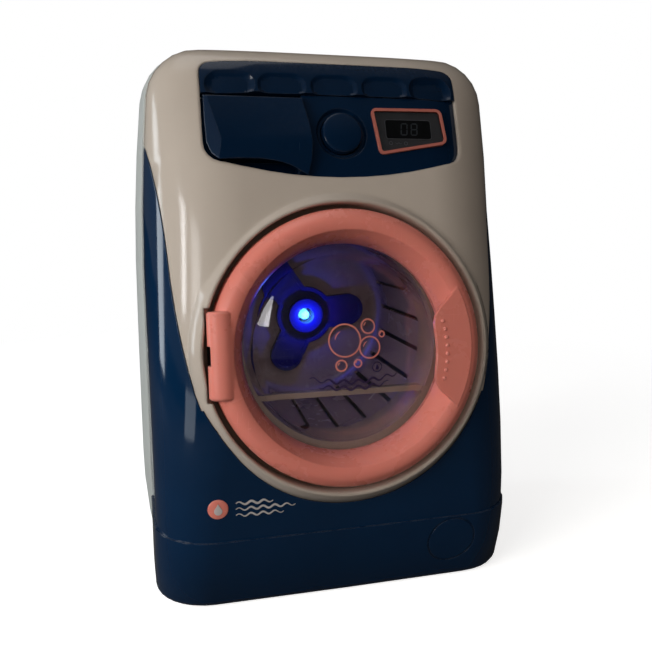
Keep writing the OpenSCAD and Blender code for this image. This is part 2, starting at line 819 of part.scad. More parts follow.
// Clear domed window with its flange
dome_round = (dome_r * dome_r + dome_h * dome_h) / (2 * dome_h);
flange_y = ring_back - glass_t;
module door_window() {
    color(clear) at_door() about_y(128) union() {
        intersection() {
            difference() {
                translate([0, flange_y - dome_h + dome_round]) circle(r = dome_round, $fn = 128);
                translate([0, flange_y - dome_h + dome_round]) circle(r = dome_round - glass_t, $fn = 128);
            }
            translate([0, flange_y - dome_h - 1]) square([dome_r, dome_h + 1 + glass_t / 2]);
        }
        translate([dome_r - 1.5, flange_y]) square([seat_r - 0.3 - dome_r + 1.5, glass_t]);
    }
}

// Ring that holds the window in the door
retainer_in = dome_r + 3;
retainer_out = 57;
retainer_t = 1.6;
retainer_places = [for (a = [45 : 90 : 315]) [53 * cos(a), 53 * sin(a)]];
module retainer_holes() {
    at_door() for (p = retainer_places) translate([p[0], 0, p[1]]) bar_y(1.1, ring_back - 6, ring_back + 5);
}
module window_retainer() {
    color(coral) difference() {
        at_door() difference() {
            bar_y(retainer_out, ring_back, ring_back + retainer_t, 96);
            bar_y(retainer_in, ring_back - 1, ring_back + retainer_t + 1, 96);
            translate([-80, ring_back - 1, -arm_h - 1]) cube([32, 10, 2 * arm_h + 2]);
        }
        retainer_holes();
    }
}
module retainer_screws() {
    color(steel) at_door() for (p = retainer_places) translate([p[0], 0, p[1]]) {
        bar_y(1.1, ring_back - 6, ring_back + retainer_t);
        bar_y(2.1, ring_back + retainer_t, ring_back + retainer_t + 1.1);
    }
}

// Steel pin through the barrel and the hinge arm
module hinge_pin() {
    color(steel) at_door() at_hinge() cylinder(r = pin_r, h = 2 * barrel_h - 4, center = true, $fn = 32);
}

// Hinge arm, fixed on the collar behind the door
module hinge_bracket() {
    color(navy) at_door() difference() {
        union() {
            at_hinge() cylinder(r = knuckle_r, h = 2 * arm_h, center = true, $fn = 32);
            translate([-hinge_x - arm_hw, 0, -arm_h]) cube([2 * arm_hw, rim_depth, 2 * arm_h]);
            translate([-hinge_x - bracket_hw, rim_depth - 1.4, -bracket_hh]) cube([2 * bracket_hw, 1.4, 2 * bracket_hh]);
        }
        at_hinge() cylinder(r = pin_r + run_gap, h = 40, center = true, $fn = 32);
    }
}

// Snap latch on the back of the door
latch_x = 53;
latch_t = 1.6;
latch_hh = 4;
latch_back = ring_back + retainer_t;
module door_latch() {
    color(coral) at_door() {
        translate([latch_x, latch_back, -latch_hh]) cube([latch_t, rim_depth + 4.4 - latch_back, 2 * latch_hh]);
        translate([latch_x - 2, latch_back, -latch_hh]) cube([latch_t + 3, 1, 2 * latch_hh]);
    }
}
module latch_slot() {
    at_door() translate([latch_x - 0.6, rim_depth - 1, -latch_hh - 0.6]) cube([latch_t + 2.2, 10, 2 * latch_hh + 1.2]);
}

// Beige collar behind the door, with the funnel into the drum
mouth_t = 2;
funnel_t = 1.5;
funnel_deep = 31.5;
drum_y0 = back_y - 26 - drum_len;
plate_r = rim_out_r - 0.7;
sill_z = -21.6;
sill_h = 2.4;
sill_t = 7;
module mouth_ring() {
    color(beige) difference() {
        union() {
            at_door() bar_y(plate_r, rim_depth, rim_depth + mouth_t, 96);
            intersection() {
                at_drum() bar_y(mouth_r + funnel_t, -back_y, back_y, 96);
                at_door() translate([-80, rim_depth, -80]) cube([160, funnel_deep - rim_depth, 160]);
            }
        }
        difference() {
            at_drum() bar_y(mouth_r, -back_y - 20, back_y, 96);
            at_door() translate([-80, rim_depth, sill_z]) cube([160, sill_t, sill_h]);
        }
        latch_slot();
        tub_screw_holes();
    }
}

tub_places = [for (a = [30 : 60 : 330]) [(rim_in_r + rim_out_r) / 2 * cos(a), (rim_in_r + rim_out_r) / 2 * sin(a)]];
module tub_screw_holes() {
    at_door() for (p = tub_places) translate([p[0], 0, p[1]]) bar_y(1.2, rim_depth - 5, rim_depth + 8);
}
module tub_screws() {
    color(steel) at_door() for (p = tub_places) translate([p[0], 0, p[1]]) {
        bar_y(1.2, rim_depth, rim_depth + mouth_t + flange_t);
        bar_y(2.2, rim_depth + mouth_t + flange_t, rim_depth + mouth_t + flange_t + 1.2);
    }
}

// Tub round the drum, with the bearing boss, the gear posts and the motor's ear
flange_t = 2;
drum_back = drum_y0 + drum_len;
tub_back = drum_back + drum_wall + 2.6;
tub_back_t = 2;
boss_len = 3;
module tub() {
    color(pale) difference() {
        union() {
            intersection() {
                at_drum() bar_y(tub_r + tub_wall, -back_y, tub_back + tub_back_t, 96);
                at_door() translate([-90, rim_depth + mouth_t, -90]) cube([180, 200, 180]);
            }
            at_door() bar_y(plate_r, rim_depth + mouth_t, rim_depth + mouth_t + flange_t, 96);
            at_drum() bar_y(shaft_r + 4.2, tub_back, tub_back + tub_back_t + boss_len, 48);
            motor_ear();
        }
        difference() {
            at_drum() bar_y(tub_r, -back_y, tub_back, 96);
            at_door() translate([-90, -100, -90]) cube([180, 100 + rim_depth + mouth_t - 0.5, 180]);
        }
        at_drum() bar_y(shaft_r + 2, tub_back - 1, back_y, 48);
        at_idler() bar_y(axle_r, tub_back - 1, back_y);
        at_motor() bar_y(3.2, tub_back - 1, back_y);
        at_motor() for (s = [-1, 1]) translate([0, 0, 7 * s]) bar_y(1, tub_back - 1, back_y);
        latch_slot();
        tub_screw_holes();
    }
}

// Gear train places: drum, idler and motor in one line, down to the right
train_a = -45;
idler_d = gear_m * (gear_teeth + pinion_teeth) / 2;
motor_d = idler_d + idler_m * (idler_teeth + pinion_teeth) / 2;
axle_r = 1.5;
module at_idler() {
    at_drum() rotate([0, -train_a, 0]) translate([idler_d, 0, 0]) children();
}
module at_motor() {
    at_drum() rotate([0, -train_a, 0]) translate([motor_d, 0, 0]) children();
}
module motor_ear() {
    at_drum() rotate([0, -train_a, 0]) translate([tub_r - 4, tub_back, -11]) cube([motor_d + 9 - tub_r + 4, tub_back_t, 22]);
}

// Slotted drum
fillet_r = 5;
slot_in = 8.5;
module drum() {
    r0 = drum_r;
    r1 = drum_back_r;
    color(lavender) at_drum() difference() {
        translate([0, drum_y0, 0]) about_y(128) polygon(concat(
            [[r0, 0], [r0 + drum_wall, 0]],
            arc([r1 - fillet_r, drum_len - fillet_r], fillet_r + drum_wall, 0, 90, 5),
            [[hub_bore, drum_len + drum_wall], [hub_bore, drum_len]],
            arc([r1 - fillet_r, drum_len - fillet_r], fillet_r, 90, 0, 5)));
        for (i = [0 : slots - 1]) rotate([0, -(i + 0.28) * 360 / slots, 0])
            translate([drum_back_r - 4, drum_y0 + slot_in, -slot_w / 2]) cube([14, drum_len - slot_in - 4, slot_w]);
        hub_screw_holes();
    }
}

hub_bore = shaft_bore;
lobe_len = 32;
lobe_r = 8.4;
lobe_turn = 5;
lobes = 3;
hub_t = 3.4;
module hub_area(g) {
    circle(r = 15 + g, $fn = 64);
    for (i = [0 : lobes - 1]) rotate(360 / lobes * i + lobe_turn) {
        translate([lobe_len - lobe_r, 0]) circle(r = lobe_r + g, $fn = 48);
        translate([0, -lobe_r - g]) square([lobe_len - lobe_r, 2 * (lobe_r + g)]);
    }
}
module hub_screw_holes() {
    for (i = [0 : lobes - 1]) rotate([0, -360 / lobes * i - lobe_turn, 0]) translate([lobe_len - lobe_r, 0, 0])
        bar_y(1, drum_back - hub_t, drum_back + drum_wall + 3);
}

// Dark three-lobed hub on the drum's back wall
module drum_hub() {
    color(black) at_drum() difference() {
        union() {
            difference() {
                along_y(drum_back - hub_t, drum_back) hub_area(0);
                along_y(drum_back - hub_t - 1, drum_back - hub_t + 0.8) hub_area(-2);
            }
            bar_y(9, drum_back - hub_t - 2.4, drum_back, 48);
        }
        bar_y(hub_bore, drum_back - 20, drum_back + 1, 48);
    }
}

// Hollow shaft with its flange on the drum's back
shaft_flange = 2;
gear_y = tub_back + tub_back_t + boss_len + 0.6;
module drum_shaft() {
    color(steel) at_drum() difference() {
        union() {
            bar_y(14, drum_back + drum_wall, drum_back + drum_wall + shaft_flange, 48);
            bar_y(shaft_r, drum_back + drum_wall, gear_y + gear_w, 48);
        }
        bar_y(shaft_bore, drum_back, gear_y + gear_w + 1, 48);
    }
}

module drum_bush() {
    color([0.75, 0.6, 0.3]) at_drum() difference() {
        bar_y(shaft_r + 2, tub_back, tub_back + tub_back_t + boss_len, 48);
        bar_y(shaft_r + run_gap, tub_back - 1, back_y, 48);
    }
}

// Flat outline of a gear with n teeth of module m, its first gap at angle zero when turned by half a tooth
tooth_play = 0.2;
function gear_points(n, m) = [for (i = [0 : n - 1]) let (
    a = 360 * i / n,
    rp = m * n / 2,
    ra = rp + 0.9 * m,
    rf = rp - 1.15 * m,
    wp = (PI * m / 2 - tooth_play) / rp * 90 / PI,
    wa = (PI * m * 0.2) / ra * 90 / PI,
    wf = (PI * m * 0.6) / rf * 90 / PI)
    each [[rf * cos(a - wf), rf * sin(a - wf)], [rp * cos(a - wp), rp * sin(a - wp)], [ra * cos(a - wa), ra * sin(a - wa)],
        [ra * cos(a + wa), ra * sin(a + wa)], [rp * cos(a + wp), rp * sin(a + wp)], [rf * cos(a + wf), rf * sin(a + wf)]]];

module gear(n, m, turn) {
    rotate(turn) polygon(gear_points(n, m));
}

// Gear on the drum shaft, a tooth facing the idler
module drum_gear() {
    color([0.9, 0.9, 0.86]) at_drum() difference() {
        union() {
            along_y(gear_y, gear_y + gear_w) gear(gear_teeth, gear_m, train_a);
        }
        bar_y(shaft_r + 0.02, gear_y - 1, gear_y + gear_w + 1, 48);
        difference() {
            bar_y(gear_m * gear_teeth / 2 - 4, gear_y + 1.8, gear_y + gear_w + 1, 64);
            bar_y(shaft_r + 2.5, gear_y, gear_y + gear_w + 2, 48);
        }
    }
}

idler_y = gear_y + gear_w + 0.6;
idler_w = 3;
module idler_gear() {
    color([0.85, 0.2, 0.15]) at_idler() rotate([0, train_a, 0]) difference() {
        union() {
            along_y(gear_y, idler_y + eps) gear(pinion_teeth, gear_m, train_a + 180 + 180 / pinion_teeth);
            along_y(idler_y, idler_y + idler_w) gear(idler_teeth, idler_m, train_a);
        }
        bar_y(axle_r + run_gap, gear_y - 1, back_y, 32);
    }
}

module idler_axle() {
    color(steel) at_idler() {
        bar_y(axle_r, tub_back, idler_y + idler_w + 0.4);
        bar_y(axle_r + 1.2, gear_y - 0.9, gear_y - 0.4);
        bar_y(axle_r + 1, idler_y + idler_w + 0.4, idler_y + idler_w + 1.2);
    }
}

// Small direct-current motor with its shaft and pinion
motor_len = 25;
motor_r = 10;
motor_flat = 7.6;
rotor_r = 1;
module motor() {
    color(steel) at_motor() difference() {
        union() {
            intersection() {
                bar_y(motor_r, tub_back - motor_len, tub_back, 48);
                translate([-motor_flat, tub_back - motor_len, -20]) cube([2 * motor_flat, motor_len, 40]);
            }
            bar_y(3, tub_back, tub_back + 1.4);
        }
        bar_y(rotor_r + run_gap, tub_back - 8, tub_back + 5, 24);
        for (s = [-1, 1]) translate([0, 0, 7 * s]) bar_y(1, tub_back - 4, tub_back + 1);
    }
}
module motor_screws() {
    color(steel) at_motor() for (s = [-1, 1]) translate([0, 0, 7 * s]) {
        bar_y(1, tub_back - 4, tub_back + tub_back_t);
        bar_y(1.9, tub_back + tub_back_t, tub_back + tub_back_t + 1);
    }
}
module motor_pinion() {
    color(steel) at_motor() rotate([0, train_a, 0]) {
        along_y(idler_y, idler_y + idler_w) gear(pinion_teeth, idler_m, train_a + 180 + 180 / pinion_teeth);
        bar_y(rotor_r, tub_back - 7, idler_y + 1, 24);
    }
}

// Post that carries the light through the hollow shaft
post_r = 3.2;
led_r = 2.5;
module led_holder() {
    color(pale) at_drum() difference() {
        union() {
            bar_y(post_r, drum_back + 4, back_y - wall, 32);
            bar_y(11, back_y - wall - 2, back_y - wall, 48);
            bar_y(6, gear_y + gear_w + 2, back_y - wall, 48);
        }
        bar_y(led_r - 0.6, drum_back, back_y - wall - 1, 32);
    }
}
module led() {
    color([0.3, 0.5, 1, 0.8]) at_drum() {
        bar_y(led_r, drum_back - 2, drum_back + 4, 32);
        translate([0, drum_back - 2, 0]) sphere(r = led_r, $fn = 32);
    }
}

// Speaker behind the grille
module speaker() {
    color(black) translate([speaker_x, 0, speaker_z]) {
        difference() {
            bar_y(speaker_r, back_y - wall - speaker_t, back_y - wall, 64);
            bar_y(speaker_r - 2, back_y - wall - 2, back_y, 64);
        }
        bar_y(speaker_r * 0.55, back_y - wall - speaker_t - 4, back_y - wall - speaker_t, 48);
    }
}

// Battery box, open to the rear
box_back = back_y - door_t;
module battery_box() {
    color(pale) difference() {
        union() {
            translate([-box_hw - box_in, box_back - box_depth - box_in, box_z0 - box_in + 0.01])
                cube([2 * (box_hw + box_in), box_depth + box_in, box_h + 2 * box_in - 0.02]);
            translate([-lug_hw, back_y - wall - 8, box_z0 + box_h]) cube([2 * lug_hw, 8, screw_z + 3 - box_z0 - box_h]);
        }
        translate([-box_hw, box_back - box_depth, box_z0]) cube([2 * box_hw, box_depth + 1, box_h]);
        translate([0, 0, screw_z]) bar_y(1.2, back_y - wall - 6, back_y);
    }
}
cell_y = box_back - box_depth / 2;
function cell_z(i) = box_z0 + box_h / 2 + (i - (cells - 1) / 2) * cell_pitch;
module batteries() {
    color([0.2, 0.2, 0.2]) for (i = [0 : cells - 1]) translate([0, cell_y, cell_z(i)])
        rotate([0, i % 2 == 0 ? 90 : -90, 0]) {
            cylinder(r = cell_r, h = cell_len - 1.4, center = true, $fn = 48);
            translate([0, 0, cell_len / 2 - 0.8]) cylinder(r = 2.7, h = 1.5, center = true, $fn = 24);
        }
}
module battery_contacts() {
    color(steel) for (i = [0 : cells - 1], s = [-1, 1]) translate([s * (box_hw - 0.4), cell_y, cell_z(i)]) {
        cube([0.8, 10, 10], center = true);
        translate([-s * 2.1, 0, 0]) rotate([0, 90, 0]) cylinder(r = 2.4, h = 3.4, center = true, $fn = 24);
    }
}

module battery_door() {
    color(pale) difference() {
        translate([-door_hw, box_back, door_z0]) cube([2 * door_hw, door_t, door_h]);
        translate([0, 0, screw_z]) bar_y(1.2, 0, back_y + 1);
        translate([0, 0, screw_z]) bar_y(2.4, back_y - 0.7, back_y + 1);
    }
}
module battery_door_screw() {
    color(steel) translate([0, 0, screw_z]) {
        bar_y(1.2, back_y - wall - 6, back_y - 0.7);
        bar_y(2.2, back_y - 0.7, back_y - 0.1);
    }
}

// Rear slide switch
module power_switch() {
    color(black) difference() {
        translate([switch_x - slot_hw - 2, back_y - wall - 6, switch_z - 4]) cube([2 * slot_hw + 4, 6, 8]);
        translate([switch_x - slot_hw, back_y - wall - 3.4, switch_z - 2.5]) cube([2 * slot_hw, 10, 5]);
    }
}
module switch_knob() {
    color(black) translate([switch_x - 4 + switch_travel, back_y - wall - 3.1, switch_z - 2.1])
        cube([8 - 2 * switch_travel + 2, wall + 2.8, 4.2]);
}

front_fascia();
front_cover();
rear_shell();
control_panel();
panel_strip();
drawer_housing();
drawer_front();
drawer_tray();
start_button();
display_bezel();
display_lens();
lcd_module();
control_board();
panel_screws();
door_ring();
door_window();
window_retainer();
retainer_screws();
hinge_pin();
hinge_bracket();
door_latch();
mouth_ring();
tub();
tub_screws();
drum();
drum_hub();
drum_shaft();
drum_bush();
drum_gear();
idler_gear();
idler_axle();
motor();
motor_screws();
motor_pinion();
led_holder();
led();
speaker();
battery_box();
battery_contacts();
batteries();
battery_door();
battery_door_screw();
power_switch();
switch_knob();
case_screws();
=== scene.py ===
"""Toy washing machine: its finishes, small surface pieces, stage and camera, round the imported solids.

Run as a script in Blender 4.5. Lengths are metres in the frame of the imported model.
"""

import math

import bmesh
import bpy
import numpy as np
from bpy.props import FloatProperty, FloatVectorProperty, IntProperty, PointerProperty
from mathutils import Matrix, Vector
from mathutils.bvhtree import BVHTree
from mathutils.interpolate import poly_3d_calc


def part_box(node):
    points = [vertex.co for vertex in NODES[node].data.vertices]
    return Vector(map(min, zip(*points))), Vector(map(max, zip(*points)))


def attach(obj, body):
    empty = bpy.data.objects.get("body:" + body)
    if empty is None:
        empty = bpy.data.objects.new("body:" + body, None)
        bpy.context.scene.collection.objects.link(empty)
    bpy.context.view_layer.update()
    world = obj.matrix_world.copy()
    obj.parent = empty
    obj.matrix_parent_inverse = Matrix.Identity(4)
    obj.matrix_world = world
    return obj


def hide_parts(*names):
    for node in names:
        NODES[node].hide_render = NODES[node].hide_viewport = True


bl_info = {
    "name": "Toy Washing Machine",
    "version": (1, 0, 0),
    "blender": (4, 5, 0),
    "location": "View3D > Sidebar > Toy Washer",
    "description": "Finishes, trims, lights and camera for a toy washing machine",
    "category": "Object",
}

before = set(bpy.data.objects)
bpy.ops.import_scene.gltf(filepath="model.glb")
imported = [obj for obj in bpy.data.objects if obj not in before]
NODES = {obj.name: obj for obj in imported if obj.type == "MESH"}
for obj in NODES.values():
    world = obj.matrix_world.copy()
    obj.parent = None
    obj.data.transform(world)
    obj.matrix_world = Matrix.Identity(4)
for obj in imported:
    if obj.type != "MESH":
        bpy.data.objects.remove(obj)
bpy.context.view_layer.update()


# Sizes, colours and lamps that a user would change


class WasherSizes(bpy.types.PropertyGroup):
    """Sizes of the small surface pieces."""

    edge_round: FloatProperty(
        name="Edge rounding", description="Rounding of the edges, as the light shows it", default=0.00035,
        unit="LENGTH", precision=5)
    badge_radius: FloatProperty(
        name="Badge radius", description="Radius of the round badge on the front", default=0.0043,
        unit="LENGTH", precision=5)
    wave_length: FloatProperty(
        name="Wave length", description="Length of the waves beside the badge", default=0.0255,
        unit="LENGTH", precision=5)
    print_line: FloatProperty(
        name="Print line", description="Width of the lines on the window", default=0.0009,
        unit="LENGTH", precision=5)
    digit_height: FloatProperty(
        name="Digit height", description="Height of the digits on the display", default=0.0052,
        unit="LENGTH", precision=5)


class WasherColours(bpy.types.PropertyGroup):
    """Colours of the moulded parts."""

    beige: FloatVectorProperty(
        name="Beige", description="Upper front moulding", default=(0.56, 0.49, 0.42), subtype="COLOR")
    navy: FloatVectorProperty(
        name="Navy", description="Lower front and panel", default=(0.0020, 0.0205, 0.062), subtype="COLOR")
    coral: FloatVectorProperty(
        name="Coral", description="Door ring, display frame", default=(0.86, 0.265, 0.205), subtype="COLOR")
    pale: FloatVectorProperty(
        name="Pale grey", description="Rear moulding", default=(0.60, 0.63, 0.61), subtype="COLOR")
    # The drum's own lavender, darkened so that the inside of the drum looks dim: partly painted shade
    lavender: FloatVectorProperty(
        name="Lavender", description="Drum", default=(0.22, 0.155, 0.155), subtype="COLOR")
    # The collar is beige; this much darker colour is painted shade for the collar deep behind the door
    collar: FloatVectorProperty(
        name="Collar", description="Collar behind the door", default=(0.24, 0.17, 0.13), subtype="COLOR")
    light: FloatVectorProperty(
        name="Drum light", description="Light in the drum", default=(0.10, 0.80, 1.0), subtype="COLOR")


class WasherStage(bpy.types.PropertyGroup):
    """Lamps and surroundings."""

    window_power: FloatProperty(
        name="Window lamp", description="Power of one pane of the window lamp", default=0.50, unit="POWER")
    side_power: FloatProperty(
        name="Side lamp", description="Power of the large soft lamp at the left", default=4.4, unit="POWER")
    fill_power: FloatProperty(
        name="Fill lamp", description="Power of the soft lamp in front", default=2.1, unit="POWER")
    top_power: FloatProperty(
        name="Top lamp", description="Power of the soft lamp above", default=0.8, unit="POWER")
    glare_power: FloatProperty(
        name="Window glare", description="Power of the lamp that only the window shows", default=0.42,
        unit="POWER")
    drum_light: FloatProperty(
        name="Drum light", description="Power of the light inside the drum", default=0.017, unit="POWER")
    room: FloatProperty(
        name="Room light", description="Strength of the plain light all round", default=0.10)
    samples: IntProperty(
        name="Edge samples", description="Samples of the edge rounding", default=4)


# Form of the case, in millimetres, as the solids have it

BODY_H, HALF_W, SEAM_Y, BACK_Y = 240.0, 82.8, 4.0, 62.5
DOOR_Y, DOOR_Z, DOOR_LEAN = -50.107, 114.0, math.radians(8.5)
BELLY_Y, BELLY_Z, BELLY_LOW_R, BELLY_HIGH_R = -54.507, 47.0, 122.0, 483.0
BASE_R, TOP_R, FRONT_TOP_R, REAR_R = 4.0, 20.0, 12.0, 8.0
FLANK_Z, FLANK_R, FRONT_BOW, SEAM_FLAT = 140.0, 800.0, 0.8, 3.0
CORNER_LOW_R, CORNER_MORE, CORNER_TOP_Z = 22.0, 18.0, 160.0
REAR_STEP, REAR_FOOT_Z, REAR_FOOT_R = 1.2, 45.0, 216.0
REAR_BULGE, BULGE_FADE, BULGE_Z = 2.0, 0.8, 60
PANEL_Z, PANEL_LEAN = 220.0, math.radians(20.0)


def drawn_in(t, r):
    return 0.0 if t <= 0 else r - math.sqrt(max(0.0, r * r - t * t))


def edge_in(z, r):
    return drawn_in(BASE_R - z, BASE_R) + drawn_in(z - BODY_H + r, r)


def half_width(z):
    return HALF_W - edge_in(z, TOP_R) - drawn_in(z - FLANK_Z, FLANK_R)


def front_y(z):
    bellied = drawn_in(BELLY_Z - z, BELLY_LOW_R) + drawn_in(z - BELLY_Z, BELLY_HIGH_R)
    return BELLY_Y + edge_in(z, FRONT_TOP_R) + bellied


def corner_r(z):
    v = min(1.0, max(0.0, z / CORNER_TOP_Z))
    return CORNER_LOW_R + CORNER_MORE * v * v * (3 - 2 * v)


def section(z):
    """Half width, front depth and the two corner radii of the case at a height."""
    hw, y0, rx = half_width(z), front_y(z), corner_r(z)
    return hw, y0, rx, max(0.5, min(rx, SEAM_Y - y0 - SEAM_FLAT))


def bowed(x, hw):
    return FRONT_BOW * x * x / hw / hw


PANEL_SUNK = 2.3
PANEL_Y = front_y(PANEL_Z) + PANEL_SUNK


def front_at(x, z):
    """Depth of the front surface at x and z, all in millimetres."""
    hw, y0, rx, ry = section(z)
    u = max(0.0, abs(x) - hw + rx) / rx
    return y0 + bowed(x, hw) + ry * (1 - math.sqrt(max(0.0, 1 - u * u)))


def on_front(x, z, out=0.0):
    """Point of the front surface in metres, standing out by out millimetres."""
    return Vector((x, front_at(x, z) - out, z)) / 1000


def leaned(x, y, z, y0, z0, lean):
    """Point of a frame that leans back, in metres of the whole."""
    c, s = math.cos(lean), math.sin(lean)
    return Vector((x, y0 + y * c + z * s, z0 - y * s + z * c)) / 1000


def in_door(x, y, z):
    """Point of the door's own frame in metres."""
    return leaned(x, y, z, DOOR_Y, DOOR_Z, DOOR_LEAN)


def in_panel(x, y, z):
    """Point of the control panel's own frame in metres."""
    return leaned(x, y, z, PANEL_Y, PANEL_Z, PANEL_LEAN)


def level_heights():
    """Heights at which the fine copy of the case is cut."""
    base = [BASE_R * (1 - math.cos(math.radians(a))) for a in range(0, 90, 6)]
    low = list(np.linspace(BASE_R, BELLY_Z, 16))
    high = list(np.linspace(BELLY_Z, BODY_H - TOP_R, 50))[1:]
    top = [BODY_H - TOP_R + TOP_R * math.sin(math.radians(a)) for a in range(3, 91, 3)]
    return base + low + high + top


class Form:
    """A fine copy of a moulded form, read only for its smooth normals."""

    def __init__(self, grid):
        rows, cols = grid.shape[:2]
        points = grid.reshape(-1, 3)
        along = np.gradient(grid, axis=0)
        across = np.gradient(grid, axis=1)
        normal = np.cross(across, along).reshape(-1, 3)
        length = np.linalg.norm(normal, axis=1, keepdims=True)
        self.normals = normal / np.maximum(length, 1e-12)
        self.points = [Vector(p) for p in points]
        index = np.arange(rows * cols).reshape(rows, cols)
        a, b = index[:-1, :-1].ravel(), index[:-1, 1:].ravel()
        c, d = index[1:, 1:].ravel(), index[1:, :-1].ravel()
        self.tris = np.concatenate([np.stack([a, b, c], 1), np.stack([a, c, d], 1)]).tolist()
        self.tree = BVHTree.FromPolygons(self.points, self.tris)

    def at(self, point):
        """Normal of the form nearest to a point, and the signed distance from it."""
        where, _, i, _ = self.tree.find_nearest(point)
        tri = self.tris[i]
        w = poly_3d_calc([self.points[k] for k in tri], where)
        n = sum((self.normals[k] * w[j] for j, k in enumerate(tri)), np.zeros(3))
        n = n / max(1e-9, np.linalg.norm(n))
        return n, float(np.dot(np.array(point - where), n))


def front_form():
    grid = []
    for z in level_heights():
        hw, y0, rx, ry = section(z)
        half = [(x, y0 + bowed(x, hw)) for x in np.linspace(0, hw - rx, 12)[:-1]]
        for a in np.linspace(90, 0, 40):
            x = hw - rx + rx * math.cos(math.radians(a))
            half.append((x, y0 + ry - ry * math.sin(math.radians(a)) + bowed(x, hw)))
        half += [(hw, half[-1][1] + (SEAM_Y - half[-1][1]) * k / 3) for k in (1, 2, 3)]
        row = [(-x, y, z) for x, y in reversed(half[1:])] + [(x, y, z) for x, y in half]
        grid.append(row)
    return Form(np.array(grid) / 1000)


def rear_form():
    turns = [math.radians(a) for a in range(90, 0, -9)]
    depths = [(BACK_Y - REAR_R * (1 - math.sin(a)), REAR_R * (1 - math.cos(a))) for a in turns]
    flank = [(y, 0.0) for y in np.linspace(BACK_Y - REAR_R, SEAM_Y, 14)]
    grid = []
    heights = level_heights()
    for y, k in depths + flank:
        u = min(1.0, max(0.0, (y - SEAM_Y) / (BACK_Y - SEAM_Y)))
        right = []
        for z in heights:
            high = max(0.0, z - BULGE_Z) / (BODY_H - BULGE_Z)
            bulge = REAR_BULGE * math.sin(math.pi * u) * (1 - BULGE_FADE * high ** 2)
            w = half_width(z) + REAR_STEP - drawn_in(REAR_FOOT_Z - z, REAR_FOOT_R) + bulge - k
            right.append((w, y, k + z * (BODY_H - 2 * k) / BODY_H))
        grid.append(right + [(-x, y2, z) for x, y2, z in reversed(right)])
    return Form(np.array(grid)[::-1] / 1000)


SAME_PLACE, SAME_SCREW = 2e6, 1e6
FORM_ANGLE, FORM_LEVEL, FORM_REACH = math.radians(24), 0.00045, 0.0035


def places(points, scale):
    """The number of each point's place, the same for points that lie together."""
    return np.unique(np.round(points * scale).astype(np.int64), axis=0, return_inverse=True)[1].reshape(-1)


def soften(obj, limit, form):
    """Smooth shading with sharp edges kept, and the form's own normals where the face lies on one."""
    mesh = obj.data
    count = len(mesh.vertices)
    co = np.empty(count * 3, np.float32)
    mesh.vertices.foreach_get("co", co)
    co = co.reshape(-1, 3).astype(float)
    corner = np.empty(len(mesh.loops), np.int32)
    mesh.loops.foreach_get("vertex_index", corner)
    if len(mesh.loops) != 3 * len(mesh.polygons):
        raise RuntimeError(obj.name + " isn't made of triangles")
    tri = corner.reshape(-1, 3)
    same = places(co, SAME_PLACE)
    p = co[tri]
    fn = np.cross(p[:, 1] - p[:, 0], p[:, 2] - p[:, 0])
    area = np.linalg.norm(fn, axis=1, keepdims=True)
    fn = fn / np.maximum(area, 1e-15)
    weight = np.zeros(tri.shape)
    for k in range(3):
        u, v = p[:, (k + 1) % 3] - p[:, k], p[:, (k + 2) % 3] - p[:, k]
        size = np.linalg.norm(u, axis=1) * np.linalg.norm(v, axis=1)
        weight[:, k] = np.arccos(np.clip((u * v).sum(1) / np.maximum(size, 1e-18), -1, 1))
    weight = weight.ravel() * (area.ravel().repeat(3) > 1e-13)
    owner = np.arange(len(tri)).repeat(3)
    group = same[corner]
    order = np.argsort(group, kind="stable")
    starts = np.flatnonzero(np.r_[True, np.diff(group[order]) > 0, True])
    normals = fn[owner].copy()
    bound = math.cos(math.radians(limit))
    for a, b in zip(starts[:-1], starts[1:]):
        ids = order[a:b]
        n = fn[owner[ids]]
        near = (n @ n.T > bound) * weight[ids][None, :]
        total = near @ n
        size = np.linalg.norm(total, axis=1, keepdims=True)
        normals[ids] = np.where(size > 1e-9, total / np.maximum(size, 1e-12), n)
    if form:
        first = np.zeros(same.max() + 1, int)
        first[same] = np.arange(count)
        found = [form.at(Vector(co[i])) for i in first]
        ref = np.array([f[0] for f in found])[group].reshape(-1, 3, 3)
        far = np.array([f[1] for f in found])[group].reshape(-1, 3)
        agree = np.einsum("fkc,fc->fk", ref, fn).min(1) > math.cos(FORM_ANGLE)
        level = (far.max(1) - far.min(1) < FORM_LEVEL) & (np.abs(far).max(1) < FORM_REACH)
        use = (agree & level).repeat(3)
        normals[use] = ref.reshape(-1, 3)[use]
    mesh.shade_smooth()
    mesh.normals_split_custom_set(normals.tolist())


# Shader groups


